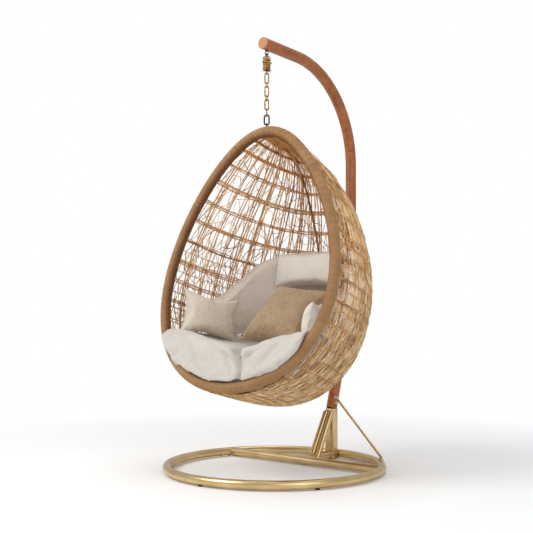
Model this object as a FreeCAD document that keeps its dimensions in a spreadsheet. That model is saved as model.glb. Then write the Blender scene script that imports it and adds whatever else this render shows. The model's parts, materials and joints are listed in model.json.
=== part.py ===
"""Hanging egg chair: a woven egg basket on a chain and swivel, hung from a bent wooden post
that stands in a socket on a round tube base. Millimetres, +Z up, the chair faces -Y."""
import FreeCAD
import Part
import math
import os
from FreeCAD import Placement, Rotation, Vector

# Driving dimensions, each set once. The sheet below holds the same cells.
SIZES = {
    # base ring and its tubes
    "ring_radius": 481.0,
    "tube_radius": 19.0,
    "tube_wall": 2.0,
    "glide_height": 5.0,
    "glide_radius": 11.0,
    "glide_count": 6,
    "ring_set_back": 55.0,
    "seam_behind": 168.0,
    "bar_behind": 202.0,
    "spigot_length": 90.0,
    "spigot_grip": 6.0,
    "fit_gap": 0.3,
    "weld_gap": 0.1,
    "ring_bolt_radius": 3.0,
    "ring_bolt_head_radius": 5.2,
    "ring_bolt_head_height": 2.6,
    # post socket and struts
    "socket_width": 50.0,
    "socket_depth": 42.0,
    "socket_wall": 3.0,
    "socket_top": 245.0,
    "socket_corner": 7.0,
    "strut_radius": 14.0,
    "strut_reach": 118.0,
    "strut_top_drop": 16.0,
    "tenon_length": 120.0,
    "socket_screw_radius": 3.0,
    "socket_screw_length": 16.0,
    "socket_screw_spacing": 56.0,
    # bent wooden post
    "post_radius": 26.0,
    "post_set_back": 662.0,
    "post_straight_from": 1300.0,
    "post_straight_to": 1440.0,
    "arm_bend_radius": 455.0,
    "arm_rise": 2.4,
    "arm_overhang": 30.0,
    "post_end_round": 3.0,
    # side stay
    "stay_radius": 6.0,
    "stay_height": 286.0,
    "stay_ring_angle": 42.0,
    "stay_plate": 4.0,
    "stay_pin_radius": 2.5,
    # hanging eye, swivel and chain
    "insert_radius": 6.0,
    "insert_length": 30.0,
    "collar_radius": 8.0,
    "collar_height": 2.2,
    "eye_radius": 8.5,
    "eye_wire": 2.5,
    "swivel_eye_radius": 7.5,
    "swivel_length": 91.0,
    "barrel_radius": 10.8,
    "barrel_wall": 2.0,
    "barrel_height": 46.0,
    "shaft_radius": 4.5,
    "running_gap": 0.05,
    "chain_turn": 39.0,
    "link_wire": 3.0,
    "link_width": 22.0,
    "long_link": 54.0,
    "short_link": 29.1,
    "last_link": 40.6,
    "big_link_wire": 3.5,
    "big_link_length": 52.0,
    "big_link_width": 28.0,
    "link_gap": 0.3,
    "rope_radius": 3.4,
    "rope_pitch": 7.7,
    "rope_turns": 8,
    # basket
    "basket_eye_radius": 8.0,
    "rim_wrap_radius": 24.5,
    "rim_tube_radius": 12.5,
    "rim_tube_wall": 1.5,
    "rim_length": 1160.0,
    "rim_half_width": 457.0,
    "rim_egg": 0.23,
    "rim_egg_ends": 0.03,
    "rim_tilt": 14.8,
    "rim_bow": 30.0,
    "basket_depth": 655.0,
    "basket_fullness": 0.44,
    "basket_lean": 0.10,
    "basket_section": 2.2,
    "shell_wall": 6.0,
    "rib_radius": 4.5,
    "hoop_radius": 3.0,
    "rod_gap": 0.6,
    # cushions
    "seat_half_width": 360.0,
    "seat_height": 540.0,
    "seat_side_rise": 72.0,
    "seat_back": 170.0,
    "back_thickness": 65.0,
    "back_low": 500.0,
    "back_over_seat": 28.0,
    "back_gap": 3.0,
    "head_width": 390.0,
    "head_height": 175.0,
    "head_thickness": 85.0,
    "tan_width": 330.0,
    "tan_height": 340.0,
    "tan_thickness": 100.0,
    "side_width": 270.0,
    "side_height": 215.0,
    "side_thickness": 80.0,
    "soft_gap": 0.6,
}

doc = FreeCAD.newDocument("hanging_egg_chair")
sheet = doc.addObject("Spreadsheet::Sheet", "Sizes")
for row, (alias, number) in enumerate(SIZES.items(), start=1):
    sheet.set("A%d" % row, alias.replace("_", " "))
    sheet.set("B%d" % row, str(number))
    sheet.setAlias("B%d" % row, alias)
doc.recompute()


class Size:
    """The sheet's cells as plain numbers."""


for alias in SIZES:
    setattr(Size, alias, float(sheet.get(alias)))

NODES = []
ORIGIN = Vector(0, 0, 0)
X_AXIS = Vector(1, 0, 0)
Y_AXIS = Vector(0, 1, 0)
Z_AXIS = Vector(0, 0, 1)

# Formulas that several pieces share
HANG_Y = ("((Sizes.ring_radius + Sizes.tube_radius - Sizes.ring_set_back)"
          " - (Sizes.post_set_back + Sizes.post_radius)) / 2")
RING_Y = HANG_Y + " + Sizes.ring_set_back"
TUBE_Z = "Sizes.glide_height + Sizes.tube_radius"
hang_y = ((Size.ring_radius + Size.tube_radius - Size.ring_set_back)
          - (Size.post_set_back + Size.post_radius)) / 2
ring_y = hang_y + Size.ring_set_back
tube_z = Size.glide_height + Size.tube_radius
ring_centre = Vector(0, ring_y, tube_z)
seam_angle = math.degrees(math.asin(Size.seam_behind / Size.ring_radius))


def node(obj, label):
    """Give a finished object its own label and list it for export."""
    obj.Label = label
    NODES.append(obj)
    return obj


def solid(label, shape, placement=None):
    """A sub-part whose shape is worked out from the sheet's numbers."""
    obj = doc.addObject("Part::Feature", label + "_form")
    obj.Shape = shape
    if placement is not None:
        obj.Placement = placement
    return node(obj, label)


def cylinder(name, start, end, radius_cell):
    """A round bar from start to end; its radius follows a cell of the sheet."""
    obj = doc.addObject("Part::Cylinder", name)
    obj.setExpression("Radius", radius_cell)
    obj.Height = (end - start).Length
    obj.Placement = Placement(start, Rotation(Z_AXIS, end - start))
    return obj


def torus(name, radius_cell, tube_cell, start_angle, sweep):
    """A stretch of the base ring, counted from +X towards +Y."""
    obj = doc.addObject("Part::Torus", name)
    obj.setExpression("Radius1", radius_cell)
    obj.setExpression("Radius2", tube_cell)
    obj.Angle3 = sweep
    obj.Placement = Placement(ORIGIN, Rotation(Z_AXIS, start_angle))
    obj.setExpression("Placement.Base.y", RING_Y)
    obj.setExpression("Placement.Base.z", TUBE_Z)
    return obj


def cut(name, base, tools):
    """Base with one tool or several taken away."""
    tool = tools[0]
    if len(tools) > 1:
        tool = doc.addObject("Part::MultiFuse", name + "_tools")
        tool.Shapes = tools
    obj = doc.addObject("Part::Cut", name)
    obj.Base = base
    obj.Tool = tool
    return obj


def on_ring(angle, offset=0.0, height=0.0):
    """A point at the tube's centre line, offset outwards and raised."""
    turn = math.radians(angle)
    reach = Size.ring_radius + offset
    return ring_centre + Vector(reach * math.cos(turn), reach * math.sin(turn), height)


def largest(shape):
    """The biggest solid of a shape that a cut has split."""
    return max(shape.Solids, key=lambda piece: piece.Volume)


def frame_at(origin, along, upright):
    """A placement with its Z along a direction and its X close to another."""
    along = Vector(along).normalize()
    side = upright - along * upright.dot(along)
    side.normalize()
    return Placement(origin, Rotation(side, along.cross(side), along, "ZXY"))


def ring_of_points(origin, along, upright, radius, sides):
    """A closed polygon square to a direction."""
    place = frame_at(origin, along, upright)
    points = []
    for count in range(sides):
        turn = 2 * math.pi * (count + 0.5) / sides
        points.append(place.multVec(Vector(radius * math.cos(turn), radius * math.sin(turn), 0)))
    return Part.makePolygon(points + [points[0]])


def rod(path, radius, sides, closed=False, upright=Z_AXIS):
    """A round rod as a ruled loft of polygons, square to a line of points."""
    wires = []
    last = len(path) - 1
    for count, point in enumerate(path):
        if closed:
            along = path[(count + 1) % len(path)] - path[count - 1]
        else:
            along = path[min(count + 1, last)] - path[max(count - 1, 0)]
        wires.append(ring_of_points(point, along, upright, radius, sides))
    if not closed:
        return Part.makeLoft(wires, True, True)
    loft = Part.makeLoft(wires + [wires[0]], False, True)
    return Part.makeSolid(Part.makeShell(loft.Faces))


def facet_loop(path, radius, sides, upright):
    """A closed round loop that lies in one plane, made of flat facets.

    The path lists each point with the loop's own direction there."""
    rings = [ring_of_points(point, along, upright, radius, sides).Vertexes for point, along in path]
    faces = []
    for count, ring in enumerate(rings):
        after = rings[(count + 1) % len(rings)]
        for side in range(len(ring)):
            beside = (side + 1) % len(ring)
            corners = [ring[side].Point, ring[beside].Point, after[beside].Point, after[side].Point]
            faces.append(Part.Face(Part.makePolygon(corners + [corners[0]])))
    return Part.makeSolid(Part.makeShell(faces))


# Base ring: a front arc that plugs into the rear frame

SPIGOT_REACH = math.degrees(Size.spigot_length / 2 / Size.ring_radius)
BOLT_REACH = SPIGOT_REACH / 2
RING_BOLT_ANGLES = [side + sign * BOLT_REACH
                    for side in (seam_angle, 180 - seam_angle) for sign in (-1, 1)]


def bolt_holes(name, angles, radius_cell):
    """Upright cylinders through the underside of the ring, one per bolt."""
    holes = []
    for count, angle in enumerate(angles):
        low = on_ring(angle, height=-Size.tube_radius - 1)
        holes.append(cylinder("%s_%d" % (name, count), low, on_ring(angle, height=-2.0), radius_cell))
    return holes


def ring_arc(label, start_angle, sweep):
    """One arc of the base ring, bored at both ends for the joint spigots."""
    skin = torus(label + "_skin", "Sizes.ring_radius", "Sizes.tube_radius", start_angle, sweep)
    depth = SPIGOT_REACH + math.degrees(1.0 / Size.ring_radius)
    bores = []
    for name, angle in (("start", start_angle), ("end", start_angle + sweep - depth)):
        bore_radius = "Sizes.tube_radius - Sizes.tube_wall"
        bores.append(torus(label + "_bore_" + name, "Sizes.ring_radius", bore_radius, angle, depth))
    inside = [angle for angle in RING_BOLT_ANGLES if 0 < (angle - start_angle) % 360 < sweep]
    holes = bolt_holes(label + "_hole", inside, "Sizes.ring_bolt_radius + Sizes.fit_gap")
    return node(cut(label + "_arc", skin, bores + holes), label)


ring_arc("base_front_arc", 180 - seam_angle, 180 + 2 * seam_angle)
ring_arc("base_rear_arc", seam_angle, 180 - 2 * seam_angle)

spigots = []
for side, middle in (("left", seam_angle), ("right", 180 - seam_angle)):
    outer_cell = "Sizes.tube_radius - Sizes.tube_wall - Sizes.fit_gap"
    start = middle - SPIGOT_REACH
    sleeve = torus("spigot_skin_" + side, "Sizes.ring_radius", outer_cell, start, 2 * SPIGOT_REACH)
    angles = [middle - BOLT_REACH, middle + BOLT_REACH]
    holes = bolt_holes("spigot_hole_" + side, angles, "Sizes.ring_bolt_radius + Sizes.running_gap")
    spigots.append(cut("spigot_" + side, sleeve, holes))
spigot_pair = doc.addObject("Part::Compound", "spigot_pair")
spigot_pair.Links = spigots
node(spigot_pair, "ring_spigots")


def headed_screw(radius, head_radius, head_height, length):
    """A screw along +Z, its domed head below the origin and its shank above."""
    shank = Part.makeCylinder(radius, length + 0.2, Vector(0, 0, -0.2))
    head = Part.makeCone(head_radius * 0.8, head_radius, head_height, Vector(0, 0, -head_height))
    return head.fuse(shank)


bolts = []
for angle in RING_BOLT_ANGLES:
    screw = headed_screw(Size.ring_bolt_radius, Size.ring_bolt_head_radius,
                         Size.ring_bolt_head_height, Size.tube_wall + Size.spigot_grip)
    screw.translate(on_ring(angle, height=-Size.tube_radius + 0.05))
    bolts.append(screw)
solid("ring_joint_bolts", Part.makeCompound(bolts))

glides = []
for count in range(int(Size.glide_count)):
    angle = 360.0 / Size.glide_count * (count + 0.5)
    pad = Part.makeCone(Size.glide_radius - 1.5, Size.glide_radius, Size.glide_height)
    pad.translate(on_ring(angle, height=-tube_z))
    glides.append(pad)
solid("floor_glides", Part.makeCompound(glides))

# Cross bar and rear spine, coped to what they are welded to

full_ring = torus("full_ring", "Sizes.ring_radius", "Sizes.tube_radius + Sizes.weld_gap", 0, 360)
bar_y = ring_y + Size.bar_behind
bar_end = math.sqrt(Size.ring_radius ** 2 - Size.bar_behind ** 2)
bar_left = Vector(bar_end, bar_y, tube_z)
bar_right = Vector(-bar_end, bar_y, tube_z)
bar_skin = cylinder("bar_skin", bar_right, bar_left, "Sizes.tube_radius")
bar_bore = cylinder("bar_bore", bar_right, bar_left, "Sizes.tube_radius - Sizes.tube_wall")
node(cut("bar_coped", bar_skin, [bar_bore, full_ring]), "cross_bar")

half_socket = Size.socket_width / 2
ring_inner = Size.ring_radius - Size.tube_radius
socket_rear_y = ring_y + math.sqrt(ring_inner ** 2 - half_socket ** 2) - Size.weld_gap
socket_y = socket_rear_y - Size.socket_depth / 2
socket_front_y = socket_rear_y - Size.socket_depth
socket_low = Size.glide_height

spine_start = Vector(0, bar_y, tube_z)
spine_end = Vector(0, socket_front_y - Size.weld_gap, tube_z)
spine_skin = cylinder("spine_skin", spine_start, spine_end, "Sizes.tube_radius")
spine_bore = cylinder("spine_bore", spine_start, spine_end, "Sizes.tube_radius - Sizes.tube_wall")
bar_solid = cylinder("bar_solid", bar_right, bar_left, "Sizes.tube_radius + Sizes.weld_gap")
node(cut("spine_coped", spine_skin, [spine_bore, bar_solid]), "rear_spine")


# Post socket: a rounded box tube, closed at the bottom

def rounded_box(name, width, depth, height, low, corner):
    """An upright box tube blank, centred on the socket, with rounded corners."""
    box = doc.addObject("Part::Box", name)
    box.setExpression("Length", width)
    box.setExpression("Width", depth)
    box.setExpression("Height", height)
    doc.recompute()
    box.Placement = Placement(Vector(-box.Length.Value / 2, socket_y - box.Width.Value / 2, low), Rotation())
    doc.recompute()
    upright = [count for count, edge in enumerate(box.Shape.Edges, start=1)
               if edge.BoundBox.ZLength > box.Height.Value * 0.9]
    rounded = doc.addObject("Part::Fillet", name + "_rounded")
    rounded.Base = box
    rounded.Edges = [(count, corner, corner) for count in upright]
    return rounded


screw_heights = [Size.socket_top - Size.tenon_length / 2 + sign * Size.socket_screw_spacing / 2
                 for sign in (-1, 1)]


def rear_holes(name, radius_cell, start_y, end_y):
    """Level cylinders through the rear of the socket, one per post screw."""
    return [cylinder("%s_%d" % (name, count), Vector(0, start_y, height), Vector(0, end_y, height), radius_cell)
            for count, height in enumerate(screw_heights)]


socket_skin = rounded_box("socket_skin", "Sizes.socket_width", "Sizes.socket_depth",
                          "Sizes.socket_top - Sizes.glide_height", socket_low, Size.socket_corner)
socket_bore = rounded_box("socket_bore", "Sizes.socket_width - 2 * Sizes.socket_wall",
                          "Sizes.socket_depth - 2 * Sizes.socket_wall",
                          "Sizes.socket_top - Sizes.glide_height", socket_low + Size.socket_wall,
                          Size.socket_corner - Size.socket_wall)
socket_holes = rear_holes("socket_hole", "Sizes.socket_screw_radius + Sizes.fit_gap",
                          socket_y, socket_rear_y + 1)
node(cut("socket_bored", socket_skin, [socket_bore] + socket_holes), "post_socket")

# Front struts, side by side, coped to the spine and leaning on the socket

socket_block = Part.makeBox(Size.socket_width * 2, Size.socket_depth, Size.socket_top * 2,
                            Vector(-Size.socket_width, socket_front_y - Size.weld_gap, -10))
spine_block = Part.makeCylinder(Size.tube_radius + Size.weld_gap, spine_end.y - spine_start.y,
                                spine_start, Y_AXIS)
for side, sign in (("left", 1), ("right", -1)):
    spread = Size.strut_radius + 1.0
    foot = Vector(sign * (spread + 2.0), socket_front_y - Size.strut_reach, tube_z)
    head = Vector(sign * spread, socket_front_y - 2.0, Size.socket_top - Size.strut_top_drop)
    lean = (head - foot).normalize()
    tube = Part.makeCylinder(Size.strut_radius, (head - foot).Length + 40, foot - lean * 40, lean)
    bore = Part.makeCylinder(Size.strut_radius - Size.tube_wall, (head - foot).Length + 40,
                             foot - lean * 40, lean)
    below = Part.makeBox(400, 400, 100, Vector(-200, foot.y - 200, tube_z - 100))
    piece = tube.cut(bore).cut(below).cut(spine_block).cut(socket_block)
    solid("front_strut_" + side, largest(piece))

# Bent wooden post with a tenon that drops into the socket

foot_rise = Size.post_straight_from - Size.socket_top
foot_shift = hang_y + Size.post_set_back - socket_y
low_bend = (foot_rise ** 2 + foot_shift ** 2) / (2 * foot_shift)
post_y = hang_y + Size.post_set_back


def arc_edge(centre, radius, start_angle, end_angle):
    """An arc in the plane x = 0, angles from +Y towards +Z, in radians."""
    points = []
    for share in (0.0, 0.5, 1.0):
        turn = start_angle + (end_angle - start_angle) * share
        points.append(centre + Vector(0, radius * math.cos(turn), radius * math.sin(turn)))
    return Part.Arc(*points).toShape(), points[0], points[2]


foot_turn = -math.asin(foot_rise / low_bend) - 30.0 / low_bend
low_arc, foot_point, straight_start = arc_edge(
    Vector(0, post_y - low_bend, Size.post_straight_from), low_bend, foot_turn, 0.0)
arm_centre = Vector(0, post_y - Size.arm_bend_radius, Size.post_straight_to)
arm_turn = math.radians(90 - Size.arm_rise)
arm_arc, straight_end, arm_start = arc_edge(arm_centre, Size.arm_bend_radius, 0.0, arm_turn)
arm_way = Vector(0, -math.sin(arm_turn), math.cos(arm_turn))
arm_run = (arm_start.y - (hang_y - Size.arm_overhang)) / -arm_way.y
arm_tip = arm_start + arm_way * arm_run
post_path = Part.Wire([low_arc, Part.LineSegment(straight_start, straight_end).toShape(), arm_arc,
                       Part.LineSegment(arm_start, arm_tip).toShape()])
foot_way = Vector(0, -math.sin(foot_turn), math.cos(foot_turn))
post_profile = Part.Wire([Part.makeCircle(Size.post_radius, foot_point, foot_way)])
post = post_path.makePipeShell([post_profile], True, False)
tip_edge = [e for e in post.Edges if e.BoundBox.YMax < hang_y - Size.arm_overhang + 3 and e.Closed]
post = post.makeFillet(Size.post_end_round, tip_edge)
under = Part.makeBox(400, 400, 400, Vector(-200, socket_y - 200, Size.socket_top - 400 + 0.1))
post = post.cut(under)

tenon_side = Size.socket_wall + Size.fit_gap
tenon_width = Size.socket_width - 2 * tenon_side
tenon_depth = Size.socket_depth - 2 * tenon_side
tenon = Part.makeBox(tenon_width, tenon_depth, Size.tenon_length + 0.1,
                     Vector(-tenon_width / 2, socket_y - tenon_depth / 2,
                            Size.socket_top - Size.tenon_length))
tenon = tenon.makeFillet(Size.socket_corner - Size.socket_wall,
                         [e for e in tenon.Edges if e.BoundBox.ZLength > Size.tenon_length * 0.9])
post = post.fuse(tenon).removeSplitter()

# Screws through the rear of the socket, into threaded inserts in the tenon
insert_outer = Size.socket_screw_radius + 2.0
insert_depth = 13.0
tenon_rear_y = socket_y + tenon_depth / 2
tenon_inserts = []
socket_screws = []
for height in screw_heights:
    mouth = Vector(0, tenon_rear_y, height)
    inward = Vector(0, -1, 0)
    insert = Part.makeCylinder(insert_outer, insert_depth, mouth, inward)
    thread = Part.makeCylinder(Size.socket_screw_radius + Size.running_gap, insert_depth + 2,
                               mouth + Y_AXIS, inward)
    tenon_inserts.append(insert.cut(thread))
    hole = Part.makeCylinder(insert_outer + Size.running_gap, insert_depth + 3.0, mouth + Y_AXIS, inward)
    post = post.cut(hole)
    screw = headed_screw(Size.socket_screw_radius, Size.socket_screw_radius * 1.8,
                         Size.socket_screw_radius * 1.1, Size.socket_screw_length)
    screw.Placement = frame_at(Vector(0, socket_rear_y + 0.05, height), inward, X_AXIS)
    socket_screws.append(screw)
solid("tenon_inserts", Part.makeCompound(tenon_inserts))
solid("socket_screws", Part.makeCompound(socket_screws))

# Eye bolt under the arm, screwed into an insert
arm_at_hang = arm_start + arm_way * ((arm_start.y - hang_y) / -arm_way.y)
arm_under = arm_at_hang.z - Size.post_radius / math.cos(math.radians(Size.arm_rise))
collar_top = arm_under - 0.4
collar_low = collar_top - Size.collar_height
hang = Vector(0, hang_y, 0)


def hanging(height):
    """A point on the hang axis."""
    return hang + Vector(0, 0, height)


insert_low = arm_under + 1.0
well = Part.makeCylinder(Size.insert_radius + Size.running_gap, Size.insert_length + 6,
                         hanging(insert_low - 5))
post = post.cut(well)
arm_insert = Part.makeCylinder(Size.insert_radius, Size.insert_length, hanging(insert_low))
arm_insert = arm_insert.cut(Part.makeCylinder(Size.link_wire + Size.running_gap,
                                              Size.insert_length + 2, hanging(insert_low - 1)))
solid("arm_insert", arm_insert)

# Side stay: a rod from a lug on the post to a clip on the ring, pinned at both ends

stay_drop = Size.post_straight_from - Size.stay_height
post_at_stay = Vector(0, post_y - low_bend + math.sqrt(low_bend ** 2 - stay_drop ** 2), Size.stay_height)
clip_foot = on_ring(Size.stay_ring_angle, height=Size.tube_radius)
stay_way = Vector(clip_foot.x - post_at_stay.x, clip_foot.y - post_at_stay.y, 0).normalize()
stay_side = Z_AXIS.cross(stay_way)
lug_reach = 13.0
lug_height = 36.0
lug_width = 22.0
ear_round = 8.0
clip_rise = 12.0


def beside_post(out, side, up):
    """A point counted from the post's surface: outwards, sideways and up."""
    return post_at_stay + stay_way * (Size.post_radius + out) + stay_side * side + Z_AXIS * up


def plate(corner, out, side, up):
    """A block laid out along the stay's own level direction."""
    block = Part.makeBox(out, side, up)
    block.Placement = Placement(corner, Rotation(stay_way, stay_side, Z_AXIS, "XYZ"))
    return block


def ear(pin, run, turn):
    """A flat ear with a round end about its pin; run is its length towards its base."""
    thick = Size.stay_plate
    body = Part.makeBox(run, thick, 2 * ear_round, Vector(-run, -thick / 2, -ear_round))
    end = Part.makeCylinder(ear_round, thick, Vector(0, -thick / 2, 0), Y_AXIS)
    hole = Part.makeCylinder(Size.stay_pin_radius + Size.running_gap, 2 * thick,
                             Vector(0, -thick, 0), Y_AXIS)
    shape = body.fuse(end).removeSplitter().cut(hole)
    way = stay_way * math.cos(turn) + Z_AXIS * math.sin(turn)
    shape.Placement = Placement(pin, Rotation(way, stay_side, way.cross(stay_side), "XYZ"))
    return shape


upper_pin = beside_post(lug_reach, 0, 0)
saddle = plate(beside_post(-7.0, -lug_width / 2, -lug_height / 2), 11.0, lug_width, lug_height)
post_fit = post_path.makePipeShell([Part.Wire([Part.makeCircle(Size.post_radius + Size.weld_gap,
                                                               foot_point, foot_way)])], True, False)
saddle = saddle.cut(post_fit).fuse(ear(upper_pin, lug_reach - 3.0, 0.0)).removeSplitter()
lug_screws = []
for sign in (-1, 1):
    mouth = beside_post(4.0, 0, sign * (lug_height / 2 - 5.0))
    shank = Part.makeCylinder(2.0, 24.0, mouth, stay_way * -1)
    head = Part.makeCone(2.0, 4.0, 2.2, mouth - stay_way * 2.2, stay_way)
    saddle = saddle.cut(head).cut(Part.makeCylinder(2.0 + Size.running_gap, 24.5, mouth, stay_way * -1))
    post = post.cut(Part.makeCylinder(2.0 + Size.running_gap, 24.5, mouth, stay_way * -1))
    lug_screws.append(head.fuse(shank))
solid("stay_upper_lug", largest(saddle))
solid("lug_screws", Part.makeCompound(lug_screws))
solid("bent_post", largest(post))

lower_pin = clip_foot + Z_AXIS * clip_rise
clip_block = plate(clip_foot - stay_way * 11.0 - stay_side * 9.0 - Z_AXIS * 5.0, 22.0, 18.0, 9.0)
ring_fit = Part.makeTorus(Size.ring_radius, Size.tube_radius + Size.weld_gap)
ring_fit.translate(ring_centre)
clip = clip_block.fuse(ear(lower_pin, clip_rise, math.pi / 2)).removeSplitter().cut(ring_fit)
solid("stay_lower_clip", largest(clip))

tab = Size.stay_plate - 1.0
tab_shift = stay_side * (Size.stay_plate / 2 + tab / 2 + Size.weld_gap)
stay_start = upper_pin + tab_shift
stay_end = lower_pin + tab_shift
stay_run = (stay_end - stay_start).Length
stay = Part.makeCylinder(Size.stay_radius, stay_run - 32, Vector(16, 0, 0), X_AXIS)
for low in (-ear_round + 1.0, stay_run - 30.0):
    flat = Part.makeBox(30.0 + ear_round - 1.0, tab, 11.0, Vector(low, -tab / 2, -5.5))
    stay = stay.fuse(flat)
for reach in (0.0, stay_run):
    stay = stay.cut(Part.makeCylinder(Size.stay_pin_radius + Size.running_gap, 20,
                                      Vector(reach, -10, 0), Y_AXIS))
stay_line = (stay_end - stay_start).normalize()
stay.Placement = Placement(stay_start, Rotation(stay_line, stay_side, stay_line.cross(stay_side), "XYZ"))
solid("side_stay", stay)

stay_pins = []
pin_grip = Size.stay_plate + tab + 3 * Size.weld_gap
for pin in (upper_pin, lower_pin):
    start = pin - stay_side * (Size.stay_plate / 2 + Size.weld_gap)
    rivet = Part.makeCylinder(Size.stay_pin_radius, pin_grip, start, stay_side)
    rivet = rivet.fuse(Part.makeCylinder(Size.stay_pin_radius * 1.8, 2.2, start, stay_side * -1))
    rivet = rivet.fuse(Part.makeCylinder(Size.stay_pin_radius * 1.8, 2.2, start + stay_side * pin_grip,
                                         stay_side))
    stay_pins.append(rivet)
solid("stay_pins", Part.makeCompound(stay_pins))


def loop_path(centre, half_width, straight, across, steps=8):
    """The centre line of an upright link or ring, wider along one level direction."""
    points = []
    for half, sign in ((0, 1), (1, -1)):
        for count in range(steps + (1 if straight > 0 else 0)):
            turn = math.pi * (half + count / steps)
            point = (centre + across * (half_width * math.cos(turn))
                     + Z_AXIS * (half_width * math.sin(turn) + sign * straight / 2))
            points.append((point, Z_AXIS * math.cos(turn) - across * math.sin(turn)))
    return points


def link(centre, length, width, wire, across):
    """A chain link, or a round ring where length equals width, hanging upright."""
    half_width = width / 2 - wire
    normal = across.cross(Z_AXIS)
    return facet_loop(loop_path(centre, half_width, length - width, across), wire, 8, normal)


eye_centre = collar_low - Size.eye_radius - Size.eye_wire + 0.6
eye_ring = link(hanging(eye_centre), 2 * (Size.eye_radius + Size.eye_wire),
                2 * (Size.eye_radius + Size.eye_wire), Size.eye_wire, X_AXIS)
shank = Part.makeCylinder(Size.link_wire, Size.insert_length * 0.9, hanging(collar_top - 0.1))
collar = Part.makeCylinder(Size.collar_radius, Size.collar_height, hanging(collar_low))
solid("eye_bolt", eye_ring.fuse([collar, shank]).removeSplitter())
swing_top = eye_centre - Size.eye_radius

# Swivel: an eye and shaft that turn in a closed barrel

swivel_top_wire = swing_top + 2 * Size.eye_wire + Size.link_gap
swivel_ring_centre = swivel_top_wire - Size.swivel_eye_radius
swivel_ring_low = swivel_ring_centre - Size.swivel_eye_radius
swivel_ring = link(hanging(swivel_ring_centre), 2 * (Size.swivel_eye_radius + Size.eye_wire),
                   2 * (Size.swivel_eye_radius + Size.eye_wire), Size.eye_wire, Y_AXIS)
barrel_top = swivel_ring_low - 8.0
barrel_low = barrel_top - Size.barrel_height
plate = 6.0
shaft_low = barrel_top - plate - 16.0
shaft = Part.makeCylinder(Size.shaft_radius, swivel_ring_low + 1.0 - shaft_low, hanging(shaft_low))
neck = Part.makeCone(Size.shaft_radius + 2.5, Size.shaft_radius, 4.0, hanging(barrel_top + 0.4))
solid("swivel_eye", swivel_ring.fuse([shaft, neck]).removeSplitter())

washer_top = barrel_top - plate
washer = Part.makeCylinder(Size.shaft_radius + 3.0, 2.5, hanging(washer_top - 2.5))
washer = washer.cut(Part.makeCylinder(Size.shaft_radius + Size.running_gap, 5, hanging(washer_top - 4)))
solid("thrust_washer", washer)
nut_height = 7.0
nut_top = washer_top - 2.5 - Size.running_gap
nut_corners = [hanging(nut_top - nut_height) + Vector(7.2 * math.cos(math.radians(60 * count)),
                                                      7.2 * math.sin(math.radians(60 * count)), 0)
               for count in range(7)]
nut = Part.Face(Part.makePolygon(nut_corners)).extrude(Vector(0, 0, nut_height))
nut = nut.cut(Part.makeCylinder(Size.shaft_radius, 20, hanging(nut_top - 12)))
solid("swivel_nut", nut)

barrel_bore = Size.barrel_radius - Size.barrel_wall
cap_height = 8.0
housing = Part.makeCylinder(Size.barrel_radius, Size.barrel_height, hanging(barrel_low))
housing = housing.cut(Part.makeCylinder(barrel_bore, Size.barrel_height - plate, hanging(barrel_low)))
housing = housing.cut(Part.makeCylinder(Size.shaft_radius + Size.running_gap, 20, hanging(barrel_top - 15)))
solid("swivel_barrel", housing)

turned = Rotation(Z_AXIS, Size.chain_turn)
ACROSS = turned.multVec(X_AXIS)
ALONG = turned.multVec(Y_AXIS)
lower_wire = swivel_top_wire - Size.swivel_length
lower_ring_centre = lower_wire + Size.swivel_eye_radius
cap = Part.makeCylinder(barrel_bore - Size.running_gap, cap_height, hanging(barrel_low))
lower_ring = link(hanging(lower_ring_centre), 2 * (Size.swivel_eye_radius + Size.eye_wire),
                  2 * (Size.swivel_eye_radius + Size.eye_wire), Size.eye_wire, ALONG)
stem_low = lower_ring_centre + Size.swivel_eye_radius - 1.0
stem = Part.makeCylinder(Size.shaft_radius, barrel_low + 1.0 - stem_low, hanging(stem_low))
solid("swivel_cap_eye", cap.fuse([stem, lower_ring]).removeSplitter())


# Rope wound round the swivel barrel: one unbroken helix of polygons

def coil_biarcs(radius, pitch, turns, low):
    """The coil's centre line: two tangent arcs to each quarter turn."""
    edges = []
    steps = int(turns * 4)
    quarter = math.pi / 2
    rise = pitch / (2 * math.pi)

    def point(turn):
        return hanging(low + rise * turn) + Vector(radius * math.cos(turn), radius * math.sin(turn), 0)

    def heading(turn):
        return Vector(-radius * math.sin(turn), radius * math.cos(turn), rise).normalize()

    for count in range(steps):
        start = point(count * quarter)
        end = point((count + 1) * quarter)
        way_in = heading(count * quarter)
        way_out = heading((count + 1) * quarter)
        chord = end - start
        both = way_in + way_out
        square = 2 * (1 - way_in.dot(way_out))
        root = math.sqrt(chord.dot(both) ** 2 + square * chord.dot(chord))
        reach = chord.dot(chord) / (chord.dot(both) + root)
        corner_in = start + way_in * reach
        corner_out = end - way_out * reach
        joint = (corner_in + corner_out) * 0.5
        edges.append(tangent_arc(start, corner_in, joint))
        edges.append(tangent_arc(joint, corner_out, end))
    return edges


def tangent_arc(start, corner, end):
    """The arc from start to end whose tangents meet at a corner point."""
    to_start = (start - corner)
    to_end = (end - corner)
    half = to_start.getAngle(to_end) / 2
    radius = to_start.Length * math.tan(half)
    bisector = (to_start.normalize() + to_end.normalize()).normalize()
    centre = corner + bisector * (math.hypot(radius, (start - corner).Length))
    middle = centre - bisector * radius
    return Part.Arc(start, middle, end).toShape()


def least_gap(path, turns, radius):
    """The least gap between the turns of a coil, measured on points along its centre line."""
    per_turn = 48
    points = path.discretize(Number=int(turns * per_turn) + 1)
    nearest = min((first - second).Length
                  for count, first in enumerate(points) for second in points[count + per_turn // 2:])
    return nearest - 2 * radius


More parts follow.
